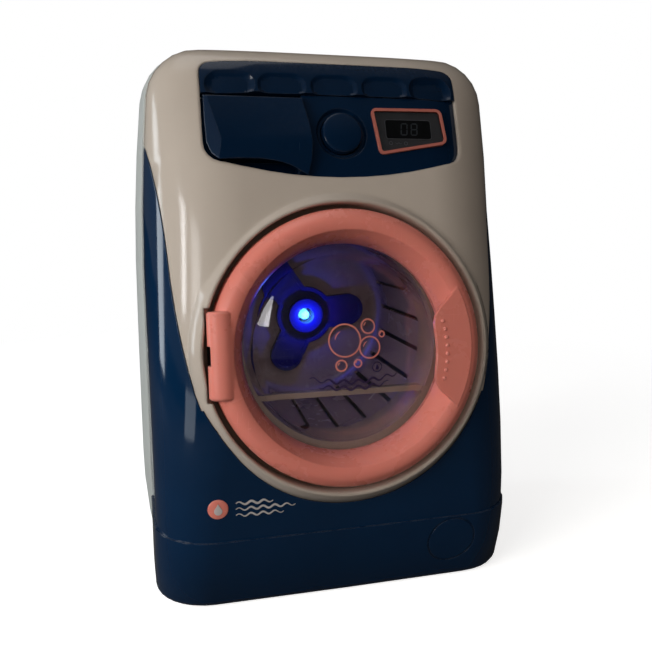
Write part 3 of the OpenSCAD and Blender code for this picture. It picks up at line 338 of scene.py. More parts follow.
class Net:
    """Adds nodes to a tree and joins them."""

    def __init__(self, tree):
        self.tree = tree

    def add(self, kind, sockets=None, **settings):
        made = self.tree.nodes.new(kind)
        for key, value in settings.items():
            setattr(made, key, value)
        for key, value in (sockets or {}).items():
            if isinstance(value, bpy.types.NodeSocket):
                self.tree.links.new(value, made.inputs[key])
            else:
                made.inputs[key].default_value = value
        made.location = (180 * (len(self.tree.nodes) % 9), -220 * (len(self.tree.nodes) // 9))
        return made

    def math(self, operation, a, b=0.0, clamp=False):
        return self.add("ShaderNodeMath", {0: a, 1: b}, operation=operation, use_clamp=clamp).outputs[0]

    def span(self, value, a, b, c=0.0, d=1.0):
        ends = {"Value": value, "From Min": a, "From Max": b, "To Min": c, "To Max": d}
        return self.add("ShaderNodeMapRange", ends).outputs[0]

    def blend(self, share, a, b):
        return self.add("ShaderNodeMix", {0: share, 6: a, 7: b}, data_type="RGBA").outputs[2]

    def noise(self, place, scale, detail=2.0, rough=0.5):
        given = {"Vector": place, "Scale": scale, "Detail": detail, "Roughness": rough}
        return self.add("ShaderNodeTexNoise", given).outputs["Fac"]

    def place(self):
        return self.add("ShaderNodeTexCoord").outputs["Object"]

    def bump(self, strength, distance, height, **normal):
        given = {"Strength": strength, "Distance": distance, "Height": height, **normal}
        return self.add("ShaderNodeBump", given).outputs[0]

    def join(self, value, socket):
        self.tree.links.new(value, socket)

    def times(self, a, b, clamp=False):
        return self.math("MULTIPLY", a, b, clamp)

    def plus(self, a, b, clamp=False):
        return self.math("ADD", a, b, clamp)

    def mix(self, share, a, b):
        return self.add("ShaderNodeMixShader", {0: share, 1: a, 2: b}).outputs[0]

    def white(self, kind, strength):
        return self.add(kind, {"Color": (1, 1, 1, 1), "Strength": strength}).outputs[0]

    def stretch(self, place, scale, turn=(0, 0, 0)):
        return self.add("ShaderNodeMapping", {"Vector": place, "Scale": scale, "Rotation": turn}).outputs[0]


SOCKETS = {"Colour": "NodeSocketColor", "Normal": "NodeSocketVector"}


def effect(name, inputs, outputs=("Colour", "Roughness", "Normal")):
    """An empty shader group with named inputs and outputs."""
    tree = bpy.data.node_groups.new(name, "ShaderNodeTree")
    for label, default in inputs.items():
        kind = SOCKETS.get(label, "NodeSocketFloat")
        tree.interface.new_socket(name=label, in_out="INPUT", socket_type=kind).default_value = default
    for label in outputs:
        kind = SOCKETS.get(label, "NodeSocketFloat")
        tree.interface.new_socket(name=label, in_out="OUTPUT", socket_type=kind)
    net = Net(tree)
    return net, net.add("NodeGroupInput").outputs, net.add("NodeGroupOutput").inputs


def moulded_skin(edge, samples):
    """Moulded plastic: faint mottle, dust on what faces up, fine scuffs, smudges and rounded edges."""
    net, given, out = effect("Moulded skin", {
        "Colour": (0.5, 0.5, 0.5, 1), "Mottle": 0.05, "Dust": 0.1, "Scuffs": 0.2, "Roughness": 0.3,
        "Grain": 0.1, "Grain scale": 900.0, "Wear": 0.2, "Edge": edge})
    place = net.place()
    shape = net.add("ShaderNodeNewGeometry")
    rounded = net.add("ShaderNodeBevel", {"Radius": given["Edge"]}, samples=samples).outputs[0]
    turned = {0: rounded, 1: shape.outputs["Normal"]}
    cosine = net.add("ShaderNodeVectorMath", turned, operation="DOT_PRODUCT").outputs["Value"]
    rim = net.span(cosine, 0.995, 0.80)
    broken = net.span(net.noise(place, 160.0, 3.0), 0.35, 0.65)
    worn = net.times(net.times(rim, broken), given["Wear"], True)
    cloud = net.span(net.noise(place, 22.0, 3.0), 0.3, 0.7, -1.0, 1.0)
    tone = net.plus(net.times(cloud, given["Mottle"]), 1.0)
    toned = net.add("ShaderNodeVectorMath", {0: given["Colour"], "Scale": tone}, operation="SCALE").outputs[0]
    light = net.blend(0.5, toned, (0.85, 0.85, 0.85, 1))
    edged = net.blend(worn, toned, light)
    up = net.add("ShaderNodeSeparateXYZ", {0: shape.outputs["Normal"]}).outputs[2]
    specks = net.span(net.noise(place, 420.0, 4.0, 0.7), 0.42, 0.72)
    settled = net.times(net.span(up, 0.35, 0.95), specks)
    dusty = net.times(settled, given["Dust"], True)
    net.join(net.blend(dusty, edged, (0.42, 0.40, 0.37, 1)), out["Colour"])
    lines_a = net.noise(net.stretch(place, (2600, 60, 90), (0, 0.4, 0.2)), 1.0, 1.0)
    lines_b = net.noise(net.stretch(place, (70, 80, 2300), (0.3, 0.9, 0)), 1.0, 1.0)
    scuffed = net.math("MAXIMUM", net.span(lines_a, 0.70, 0.78), net.span(lines_b, 0.71, 0.79))
    patch = net.span(net.noise(place, 34.0, 2.0), 0.50, 0.66)
    scuffed = net.times(net.times(scuffed, patch), given["Scuffs"])
    smudge = net.span(net.noise(place, 48.0, 4.0, 0.65), 0.45, 0.75, 0.0, 0.07)
    rough = net.plus(net.plus(given["Roughness"], smudge), net.times(scuffed, 0.35))
    net.join(net.plus(rough, net.times(dusty, 0.4), True), out["Roughness"])
    fine = net.noise(place, given["Grain scale"])
    height = net.math("SUBTRACT", net.times(fine, given["Grain"]), net.times(scuffed, 0.3))
    net.join(net.bump(0.5, 0.00012, height, Normal=rounded), out["Normal"])
    return net.tree


def plated_skin(edge, samples):
    """Plated or turned metal: fine streaks, a little tarnish, rounded edges."""
    net, given, out = effect("Plated skin", {
        "Colour": (0.6, 0.6, 0.62, 1), "Roughness": 0.3, "Streaks": 0.3, "Tarnish": 0.2})
    place = net.place()
    rounded = net.add("ShaderNodeBevel", {"Radius": edge}, samples=samples).outputs[0]
    spots = net.span(net.noise(place, 260.0, 4.0, 0.7), 0.5, 0.75)
    dull = net.times(spots, given["Tarnish"], True)
    net.join(net.blend(dull, given["Colour"], (0.16, 0.13, 0.10, 1)), out["Colour"])
    streak = net.noise(net.stretch(place, (300, 5200, 300)), 1.0, 2.0)
    uneven = net.times(net.math("SUBTRACT", streak, 0.5), given["Streaks"])
    rough = net.plus(given["Roughness"], uneven)
    net.join(net.plus(rough, net.times(dull, 0.4), True), out["Roughness"])
    net.join(net.bump(0.3, 0.00005, streak, Normal=rounded), out["Normal"])
    return net.tree


def clear_skin():
    """Clear moulded plastic: a faint uneven surface, smudges and hair scratches."""
    inputs = {"Roughness": 0.02, "Smudges": 0.1, "Flow": 0.3}
    net, given, out = effect("Clear skin", inputs, ("Roughness", "Normal"))
    place = net.place()
    smudge = net.times(net.span(net.noise(place, 60.0, 4.0, 0.7), 0.48, 0.78), given["Smudges"])
    lines = net.noise(net.stretch(place, (2400, 60, 60), (0, 0.7, 0.5)), 1.0, 1.0)
    marks = net.plus(smudge, net.span(lines, 0.72, 0.8, 0.0, 0.12))
    net.join(net.plus(given["Roughness"], marks, True), out["Roughness"])
    flow = net.times(net.noise(place, 28.0, 1.0), given["Flow"])
    net.join(net.bump(0.25, 0.001, flow), out["Normal"])
    return net.tree


def new_material(name):
    made = bpy.data.materials.new(name)
    made.use_nodes = True
    made.node_tree.nodes.clear()
    net = Net(made.node_tree)
    end = net.add("ShaderNodeOutputMaterial")
    return made, net, end.inputs["Surface"]


def rgba(colour):
    return (colour[0], colour[1], colour[2], 1.0)


def dressed(name, skin_name, inputs, settings, sockets=("Base Color", "Roughness", "Normal")):
    """A material whose Principled shader is fed by one of the skins."""
    made, net, surface = new_material(name)
    skin = net.add("ShaderNodeGroup", node_tree=bpy.data.node_groups[skin_name])
    for key, value in inputs.items():
        skin.inputs[key].default_value = value
    fed = {key: skin.outputs["Colour" if key == "Base Color" else key] for key in sockets}
    body = net.add("ShaderNodeBsdfPrincipled", {**fed, **settings})
    net.join(body.outputs[0], surface)
    return net, surface, body


def moulded(name, colour, roughness=0.25, mottle=0.04, dust=0.15, scuffs=0.4, grain=0.15, scale=900.0,
            wear=0.25, edge=None, through=0.0):
    """A material of moulded plastic."""
    inputs = {"Colour": rgba(colour), "Roughness": roughness, "Mottle": mottle, "Dust": dust,
              "Scuffs": scuffs, "Grain": grain, "Grain scale": scale, "Wear": wear}
    if edge:
        inputs["Edge"] = edge
    dressed(name, "Moulded skin", inputs, {"Subsurface Weight": through, "Subsurface Scale": 0.002})


def plated(name, colour, roughness=0.28, streaks=0.3, tarnish=0.25):
    """A material of plated or turned metal."""
    inputs = {"Colour": rgba(colour), "Roughness": roughness, "Streaks": streaks, "Tarnish": tarnish}
    dressed(name, "Plated skin", inputs, {"Metallic": 1.0})


def clear(name, colour, smudges=0.1, flow=0.3):
    """A material of clear plastic that lets the lamps through."""
    settings = {"Base Color": rgba(colour), "Transmission Weight": 1.0, "IOR": 1.49}
    inputs = {"Smudges": smudges, "Flow": flow}
    net, surface, body = dressed(name, "Clear skin", inputs, settings, ("Roughness", "Normal"))
    open_air = net.add("ShaderNodeBsdfTransparent", {"Color": rgba(colour)})
    shadow = net.add("ShaderNodeLightPath").outputs["Is Shadow Ray"]
    net.join(net.mix(shadow, body.outputs[0], open_air.outputs[0]), surface)


def glowing(name, colour, strength):
    """A material that gives light, with a soft uneven core."""
    made, net, surface = new_material(name)
    hot = rgba([min(1.0, c * 1.2 + 0.05) for c in colour])
    core = net.blend(net.span(net.noise(net.place(), 500.0, 2.0), 0.4, 0.6), rgba(colour), hot)
    body = net.add("ShaderNodeBsdfPrincipled", {
        "Base Color": (0.8, 0.8, 0.8, 1), "Roughness": 0.15, "Emission Color": core,
        "Emission Strength": strength})
    net.join(body.outputs[0], surface)


# Mesh makers


def new_object(name, data):
    """An object in the scene."""
    made = bpy.data.objects.new(name, data)
    bpy.context.scene.collection.objects.link(made)
    return made


def piece(name, verts, faces, finish, body, slot, smooth=True, limit=30.0):
    """A mesh object of the washing machine that rides on a body."""
    mesh = bpy.data.meshes.new(name)
    mesh.from_pydata([tuple(v) for v in verts], [], faces)
    mesh.validate()
    work = bmesh.new()
    work.from_mesh(mesh)
    bmesh.ops.remove_doubles(work, verts=work.verts, dist=1e-7)
    bmesh.ops.recalc_face_normals(work, faces=work.faces)
    work.to_mesh(mesh)
    work.free()
    made = new_object(name, mesh)
    mesh.materials.append(finish_of(finish))
    if smooth:
        mesh.shade_smooth()
        mesh.set_sharp_from_angle(angle=math.radians(limit))
    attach(made, body)
    return made


def plate(outline, low, high, place):
    """A flat closed outline made solid between two heights; place turns (x, height, z) into a point."""
    n = len(outline)
    verts = [place(x, low, z) for x, z in outline] + [place(x, high, z) for x, z in outline]
    faces = [list(range(n)), list(range(2 * n - 1, n - 1, -1))]
    faces += [[i, (i + 1) % n, n + (i + 1) % n, n + i] for i in range(n)]
    return verts, faces


def ribbon(path, width, low, high, place, closed=False):
    """A line of even width along a flat path, made solid between two heights."""
    pts = [Vector((p[0], p[1])) for p in path]
    n = len(pts)
    verts, faces = [], []
    for i, p in enumerate(pts):
        before = pts[(i - 1) % n] if closed or i > 0 else p
        after = pts[(i + 1) % n] if closed or i < n - 1 else p
        t = (after - before).normalized()
        side = Vector((-t.y, t.x)) * width / 2
        if not closed:
            side *= min(1.0, 0.35 + 2.2 * min(i, n - 1 - i) / n)
        for q, h in ((p - side, low), (p + side, low), (p + side, high), (p - side, high)):
            verts.append(place(q.x, h, q.y))
    count = n if closed else n - 1
    for i in range(count):
        a, b = 4 * i, 4 * ((i + 1) % n)
        faces += [[a + k, a + (k + 1) % 4, b + (k + 1) % 4, b + k] for k in range(4)]
    if not closed:
        faces += [[3, 2, 1, 0], [4 * n - 4, 4 * n - 3, 4 * n - 2, 4 * n - 1]]
    return verts, faces


def join(parts):
    """Several lots of points and faces as one."""
    verts, faces = [], []
    for v, f in parts:
        k = len(verts)
        verts += v
        faces += [[i + k for i in face] for face in f]
    return verts, faces


def around(centre, radius, degrees):
    """The point at an angle on a flat circle."""
    a = math.radians(degrees)
    return centre[0] + radius * math.cos(a), centre[1] + radius * math.sin(a)


def ring(radius, count, centre, start=0.0, sweep=360.0):
    """The points of a flat circle, or of an arc of it with both its ends."""
    last = count if sweep == 360 else count + 1
    return [around(centre, radius, start + sweep * i / count) for i in range(last)]


def rounded(width, height, r, middle):
    """A rectangle with round corners."""
    x, z, (cx, cz) = width / 2 - r, height / 2 - r, middle
    corners = ((x, z, 0), (-x, z, 90), (-x, -z, 180), (x, -z, 270))
    return [(cx + px, cz + pz) for dx, dz, a in corners for px, pz in ring(r, 6, (dx, dz), a, 90)]


def drop_outline(centre, radius, step, tip):
    """A drop of water: a round foot and the points of its tip."""
    x, z = centre
    foot = [(x + radius * math.sin(math.radians(a)), z - radius * math.cos(math.radians(a)))
            for a in range(-130, 131, step)]
    return foot + tip


def turned_faces(rows, n, foot=True):
    """Faces of rows of n points each, with one point after them all that closes the first row."""
    sides = [(q * n + k, q * n + (k + 1) % n) for q in range(rows - 1) for k in range(n)]
    faces = [[k, (k + 1) % n, rows * n] for k in range(n)] + [[a, a + n, b + n, b] for a, b in sides]
    return faces + [[(rows - 1) * n + k for k in range(n)]] if foot else faces


DOME_R, DOME_H, FLANGE_Y = 42.0, 9.5, 8.5
DOME_ROUND = (DOME_R ** 2 + DOME_H ** 2) / (2 * DOME_H)


def on_dome(x, out, z):
    """Point on the outside of the window's dome, standing out by out millimetres."""
    r = math.hypot(x, z)
    return in_door(x, FLANGE_Y - DOME_H + DOME_ROUND - math.sqrt(DOME_ROUND ** 2 - r * r) - out, z)


def finish_of(name):
    made = bpy.data.materials.get(name)
    if made is None:
        raise RuntimeError("The finish " + name + " isn't made yet")
    return made


def put(finish, *nodes, limit=32.0, form=None):
    """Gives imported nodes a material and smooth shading."""
    for node in nodes:
        obj = NODES[node]
        obj.data.materials.clear()
        obj.data.materials.append(finish_of(finish))
        soften(obj, limit, form)


# Operators


class WASHER_OT_finishes(bpy.types.Operator):
    """Makes the plastics, metals and clear plastics of the washing machine"""

    bl_idname = "toy_washer.finishes"
    bl_label = "Finishes"

    def execute(self, context):
        sizes, stage = context.scene.washer_sizes, context.scene.washer_stage
        moulded_skin(sizes.edge_round, stage.samples)
        plated_skin(sizes.edge_round * 0.4, stage.samples)
        clear_skin()
        self.outside(context.scene.washer_colours)
        self.inside(context.scene.washer_colours)
        self.prints(context.scene.washer_colours)
        return {"FINISHED"}

    def outside(self, tint):
        # Painted shade: the panel, drawer and button take the navy darkened to 0.62, standing in for the
        # shade that the panel lies in
        navy_painted_shade = [c * 0.62 for c in tint.navy]
        # Painted shade: the display frame takes the coral darkened to 0.55, standing in for the shade that
        # the panel lies in
        coral_painted_shade = [c * 0.55 for c in tint.coral]
        # Painted highlight: the handle's dots take a lighter coral, standing in for the light that they catch
        pip_painted_highlight = [min(1.0, c * 1.08 + 0.06) for c in tint.coral]
        moulded("Beige gloss", tint.beige, 0.10, dust=0.1, wear=0.0, grain=0.08, edge=0.0022)
        moulded("Navy gloss", tint.navy, 0.07, mottle=0.10, dust=0.10, wear=0.10, grain=0.05, edge=0.0006)
        moulded("Navy panel painted shade", navy_painted_shade, 0.13, mottle=0.10, dust=0.05, wear=0.10, grain=0.08, edge=0.0007)
        moulded("Coral satin", tint.coral, 0.26, mottle=0.03, dust=0.06, scuffs=0.6, wear=0.12, edge=0.0009,
                through=0.1)
        moulded("Coral frame painted shade", coral_painted_shade, 0.22, mottle=0.03, dust=0.05, scuffs=0.3, wear=0.0, edge=0.0003)
        moulded("Coral pips", pip_painted_highlight, 0.22, mottle=0.03, dust=0.0, scuffs=0.2, wear=0.0)
        moulded("Pale satin", tint.pale, 0.42, mottle=0.03, dust=0.2, grain=0.5, scale=1500, wear=0.2)
        clear("Clear dome", (0.97, 0.96, 0.99), 0.06)
        clear("Smoked lens", (0.30, 0.31, 0.34), 0.05, 0.05)

    def inside(self, tint):
        # Partly painted shade: the drum's lavender is darkened to stand in for the dim inside of the drum
        moulded("Lavender drum painted shade", tint.lavender, 0.24, mottle=0.06, dust=0.0, wear=0.2)
        # Painted shade: the collar's beige is darkened to stand in for its shade behind the door
        moulded("Collar gloss painted shade", tint.collar, 0.20, dust=0.05, wear=0.2)
        moulded("Natural plastic", (0.66, 0.66, 0.60), 0.45, mottle=0.05, dust=0.05, wear=0.2)
        moulded("Red gear plastic", (0.52, 0.05, 0.03), 0.38, mottle=0.05, dust=0.05, wear=0.3)
        moulded("Hub violet", (0.010, 0.009, 0.085), 0.22, mottle=0.1, dust=0.0, wear=0.05)
        moulded("Black matt", (0.018, 0.018, 0.020), 0.5, mottle=0.1, dust=0.1, grain=0.5, wear=0.3)
        moulded("Board green", (0.012, 0.11, 0.045), 0.35, mottle=0.25, dust=0.1, grain=0.4, scale=2600,
                wear=0.5)
        moulded("Cell sleeve", (0.03, 0.032, 0.04), mottle=0.1, dust=0.0, wear=0.4)
        plated("Zinc plate", (0.62, 0.62, 0.63))
        plated("Sintered brass", (0.60, 0.42, 0.16), 0.4, tarnish=0.4)
        glowing("Drum light", tint.light, 1.6)

    def prints(self, tint):
        inks = {"roughness": 0.4, "dust": 0.0, "wear": 0.0}
        moulded("Display black", (0.004, 0.005, 0.005), 0.35, mottle=0.1, dust=0.0, wear=0.0)
        moulded("Display grey", (0.11, 0.105, 0.10), mottle=0.05, scuffs=0.0, **inks)
        moulded("Display line", (0.24, 0.24, 0.235), mottle=0.05, scuffs=0.0, **inks)
        moulded("Display digits", (0.10, 0.115, 0.12), mottle=0.05, scuffs=0.0, **inks)
        moulded("Coral print", [c * 0.9 for c in tint.coral], 0.45, 0.08, dust=0.0, scuffs=0.3, wear=0.0)
        moulded("Violet print", (0.035, 0.018, 0.06), mottle=0.12, scuffs=0.3, **inks)
        moulded("Pale print", (0.60, 0.56, 0.55), mottle=0.05, scuffs=0.3, **inks)


class WASHER_OT_case(bpy.types.Operator):
    """Finishes the case mouldings and the rear"""

    bl_idname = "toy_washer.case"
    bl_label = "Case"

    def execute(self, context):
        front = front_form()
        put("Beige gloss", "front_fascia", limit=38, form=front)
        put("Navy gloss", "front_cover", limit=38, form=front)
        put("Pale satin", "rear_shell", limit=38, form=rear_form())
        put("Pale satin", "battery_door", "battery_box")
        put("Black matt", "power_switch", "switch_knob", "speaker")
        put("Cell sleeve", "batteries")
        put("Zinc plate", "battery_contacts")
        return {"FINISHED"}


class WASHER_OT_panel(bpy.types.Operator):
    """Finishes the control panel, its pads, drawer, button and display"""

    bl_idname = "toy_washer.panel"
    bl_label = "Control panel"

    def execute(self, context):
        # The panel parts' darkened navy is painted shade
        put("Navy panel painted shade", "control_panel", "panel_strip", limit=38, form=front_form())
        put("Navy panel painted shade", "drawer_front", "start_button", limit=30)
        put("Navy panel painted shade", "drawer_housing")
        put("Pale satin", "drawer_tray")
        # The display frame's darkened coral is painted shade
        put("Coral frame painted shade", "display_bezel")
        put("Smoked lens", "display_lens")
        put("Display black", "lcd_module")
        put("Board green", "control_board")
        return {"FINISHED"}


SEGMENTS = {"0": "abcdef", "8": "abcdefg"}
STROKES = {"a": ((0, 1), (1, 1)), "g": ((0, 0.5), (1, 0.5)), "d": ((0, 0), (1, 0)), "f": ((0, 0.5), (0, 1)),
           "b": ((1, 0.5), (1, 1)), "e": ((0, 0), (0, 0.5)), "c": ((1, 0), (1, 0.5))}
DIGITS_X, DIGITS_Z, DIGIT_GAP, DIGIT_SLOPE = 34.0, -17.0, 2.0, 0.10
DIGIT_WIDTH, DIGIT_STROKE = 0.52, 0.11

# Corners of the display's field: place, radius, first angle and last angle
FIELD_CORNERS = ((18.8, -7.6, 1.0, 90, 190), (20.8, -24.0, 1.0, 190, 275), (47.6, -18.6, 1.8, 285, 360),
                 (46.8, -7.9, 1.6, 0, 90))

# Depths in the panel of the display's layers, each in front of the one before
FIELD, INNER, LINE, MARK = (0.84, 0.88), (0.78, 0.82), (0.74, 0.77), (0.74, 0.80)
GLASS, DIGITS = (0.68, 0.72), (0.58, 0.64)


class WASHER_OT_digits(bpy.types.Operator):
    """Adds the display's printed field and its two digits"""

    bl_idname = "toy_washer.digits"
    bl_label = "Display digits"

    def execute(self, context):
        self.field()
        h = context.scene.washer_sizes.digit_height * 1000
        w, t = h * DIGIT_WIDTH, h * DIGIT_STROKE
        parts = []
        for place, digit in enumerate("08"):
            left = DIGITS_X + (place - 0.9) * (w + DIGIT_GAP)
            for letter in SEGMENTS[digit]:
                p, q = (Vector((left + x * w, DIGITS_Z + z * h)) for x, z in STROKES[letter])
                shape = [(v.x + DIGIT_SLOPE * (v.y - DIGITS_Z), v.y) for v in self.stroke(p, q, t)]
                parts.append(plate(shape, *DIGITS, in_panel))
        piece("display_digits", *join(parts), "Display digits", "cabinet", "smoke", smooth=False)
        return {"FINISHED"}

    def stroke(self, p, q, t):
        """Six-cornered outline of a stroke from p to q, t thick."""
        along = (q - p).normalized()
        side = Vector((-along.y, along.x)) * t / 2
        p, q, nose = p + along * t * 0.15, q - along * t * 0.15, along * t / 2
        return p, p + nose + side, q - nose + side, q, q - nose - side, p + nose - side

    def field(self):
        """The printed grey field behind the lens, its inner window and its two small marks."""
        outer = [point for x, z, r, a, b in FIELD_CORNERS for point in ring(r, 8, (x, z), a, b - a)]
        inner = rounded(21.4, 8.8, 1.2, (33.4, -14.4))
        glass = rounded(12.4, 8.2, 0.5, (33.6, -14.4))
        wave = [(26.3 + 0.4 * k, -20.9 + 0.25 * math.sin(1.6 * k)) for k in range(10)]
        marks = [ribbon(inner, 0.22, *LINE, in_panel, closed=True),
                 ribbon(ring(0.75, 20, (24.6, -20.9)), 0.30, *MARK, in_panel, closed=True),
                 ribbon(ring(0.75, 20, (31.6, -20.9)), 0.30, *MARK, in_panel, closed=True),
                 ribbon(wave, 0.30, *MARK, in_panel)]
        for name, shape, finish, slot in (
                ("display_field", plate(outer, *FIELD, in_panel), "Display grey", "smoke"),
                ("display_inner", plate(inner, *INNER, in_panel), "Display black", "black"),
                ("display_marks", join(marks), "Display line", "smoke"),
                ("display_glass", plate(glass, *GLASS, in_panel), "Display black", "black")):
            piece(name, *shape, finish, "cabinet", slot, smooth=False)


# Dots of the handle, in the door's frame: how many, how far apart, the middle of their bow and its roundness
DOTS, DOT_STEP, DOT_X, DOT_Z, DOT_BOW = 8, 3.56, 42.4, -2.2, 80
DOT_R, DOT_HEIGHT, DOT_FOOT, DOT_SUNK = 0.85, 0.5, -4.75, -4.7


class WASHER_OT_door(bpy.types.Operator):
    """Finishes the door ring, window, hinge and latch"""

    bl_idname = "toy_washer.door"
    bl_label = "Door"

    def execute(self, context):
        put("Coral satin", "door_ring", "window_retainer", "door_latch", limit=30)
        put("Clear dome", "door_window", limit=30)
        put("Zinc plate", "hinge_pin")
        # Painted shade: the hinge bracket is black matt so that the notch in the rim shows dark
        put("Black matt", "hinge_bracket")
        self.pips()
        return {"FINISHED"}

    def pips(self):
        """Round caps on the handle's raised dots."""
        n = 24
        shares = (0.35, 0.62, 0.80, 0.91, 0.97, 1.0)
        caps = []
        for i in range(DOTS):
            s = (i - (DOTS - 1) / 2) * DOT_STEP
            cx, cz = DOT_X - s * s / DOT_BOW, DOT_Z + s
            verts = []
            for share in shares:
                out = DOT_FOOT - DOT_HEIGHT * math.sqrt(1 - share ** 6) if share < 1 else DOT_SUNK
                verts += [in_door(x, out, z) for x, z in ring(DOT_R * share, n, (cx, cz))]
            verts.append(in_door(cx, DOT_FOOT - DOT_HEIGHT, cz))
            caps.append((verts, turned_faces(len(shares), n)))
        # The dots' lighter coral is a painted highlight
        piece("handle_pips", *join(caps), "Coral pips", "door", "coral", limit=80)


# Prints of the window, in the door's frame: bubbles with their sizes, waves with half length and height
BUBBLES = ((-2.6, 3.6, 6.9), (8.4, 0.2, 4.6), (8.0, 9.2, 3.0),
           (-4.4, -7.0, 2.3), (2.9, -6.4, 1.6), (14.2, 5.6, 1.2))
WAVES = ((19.5, -14.2), (15.5, -16.9))
WAVE_X, WAVE_HIGH, WAVE_STEP, WAVE_BOW = 1.5, 0.85, 6.5, 0.006
INK = (0.0, 0.12)


class WASHER_OT_window_print(bpy.types.Operator):
    """Adds the bubbles and waves printed on the window"""

    bl_idname = "toy_washer.window_print"
    bl_label = "Window print"

    def execute(self, context):
        line = context.scene.washer_sizes.print_line * 1000
        bubbles = []
        for x, z, r in BUBBLES:
            bubbles.append(ribbon(ring(r, 40, (x, z)), line * 0.8, *INK, on_dome, closed=True))
            bubbles.append(ribbon(ring(r * 0.62, 10, (x, z), 115, 60), line * 0.6, *INK, on_dome))
        piece("window_bubbles", *join(bubbles), "Coral print", "door", "coral")
        marks = []
        for half, z0 in WAVES:
            across = [half * (2 * i / 90 - 1) for i in range(91)]
            path = [(x + WAVE_X, z0 + WAVE_HIGH * math.sin(2 * math.pi * x / WAVE_STEP) + WAVE_BOW * x * x)
                    for x in across]
            marks.append(ribbon(path, line * 1.1, *INK, on_dome))
        marks.append(ribbon(ring(2.1, 32, (11.6, -8.4)), line * 0.5, *INK, on_dome, closed=True))
        marks.append(plate(drop_outline((11.6, -8.8), 0.75, 20, [(11.6, -7.1)]), *INK, on_dome))
        piece("window_waves", *join(marks), "Violet print", "door", "lavender")
        return {"FINISHED"}


# Badge on the lower front: its middle, its dome from the middle outwards, its drop, and its wave lines
# with their height, share of the length, number of waves and width
BADGE = (-58.0, 49.3)
BADGE_TOP, BADGE_DOME = 0.42, ((0.5, 0.40), (0.86, 0.34), (0.97, 0.24), (1.0, 0.0))
DROP_R, DROP_LOW, DROP_TIP = 0.40, -0.16, ((0.10, 0.42), (0.0, 0.62), (-0.10, 0.42))
DROP, LINES_DEPTH = (0.30, 0.52), (0.0, 0.16)
LINES = ((51.2, 0.62, 3, 0.95), (48.6, 1.0, 5, 0.83), (45.9, 0.8, 4, 0.71))
LINES_X, LINES_HIGH = 7.4, 0.62


class WASHER_OT_badge(bpy.types.Operator):
    """Adds the round drop badge and the wave lines on the lower front"""

    bl_idname = "toy_washer.badge"
    bl_label = "Front badge"

    def execute(self, context):
        sizes = context.scene.washer_sizes
        r, length = sizes.badge_radius * 1000, sizes.wave_length * 1000
        cx, cz = BADGE

        def placed(x, out, z):
            return on_front(x, z, out)

        n = 56
        verts = [placed(x, out, z) for share, out in BADGE_DOME for x, z in ring(r * share, n, BADGE)]
        verts.append(placed(cx, BADGE_TOP, cz))
        faces = turned_faces(len(BADGE_DOME), n, foot=False)
        piece("badge_disc", verts, faces, "Coral satin", "cabinet", "coral")
        tip = [(cx + x * r, cz + z * r) for x, z in DROP_TIP]
        drop = drop_outline((cx, cz + DROP_LOW * r), DROP_R * r, 10, tip)
        piece("badge_drop", *plate(drop, *DROP, placed), "Pale print", "cabinet", "pale", smooth=False)
        lines = []
        for z0, share, lobes, width in LINES:
            path = [(cx + LINES_X + length * share * u, z0 + LINES_HIGH * math.sin(2 * math.pi * lobes * u))
                    for u in np.linspace(0, 1, 71).tolist()]
            lines.append(ribbon(path, width, *LINES_DEPTH, placed))
        piece("badge_waves", *join(lines), "Pale print", "cabinet", "pale")
        return {"FINISHED"}


class WASHER_OT_drum(bpy.types.Operator):
    """Finishes the drum, collar, tub and the light at its middle"""

    bl_idname = "toy_washer.drum"
    bl_label = "Drum"

    def execute(self, context):
        put("Lavender drum painted shade", "drum", limit=30)
        # The collar's darkened colour is painted shade
        put("Collar gloss painted shade", "mouth_ring")
        put("Hub violet", "drum_hub")
        put("Black matt", "tub")
        put("Natural plastic", "led_holder")
        put("Drum light", "led")
        return {"FINISHED"}


class WASHER_OT_works(bpy.types.Operator):
    """Finishes the gears, shaft and motor"""

    bl_idname = "toy_washer.works"
    bl_label = "Gears and motor"

    def execute(self, context):
        put("Natural plastic", "drum_gear")
        put("Red gear plastic", "idler_gear")
        put("Zinc plate", "drum_shaft", "idler_axle", "motor")
        put("Sintered brass", "drum_bush", "motor_pinion")
        return {"FINISHED"}


# Head of a screw in shares of its radius or height, its cross, and its thread in shares of the shank's radius
HEAD_RINGS = (0.10, 0.16, 0.22, 0.34, 0.46, 0.56, 0.62, 0.74, 0.86, 0.95, 1.0)
HEAD_FALL, HEAD_CURVE, HEAD_MIDDLE = 0.55, 3.2, 0.2
CROSS_REACH, CROSS_ARM, CROSS_SLOPE, CROSS_DEPTH = 0.60, 0.13, 0.10, 0.75
THREAD_STEP, THREAD_ROOT, THREAD_TIP = 0.55, 0.78, 0.5


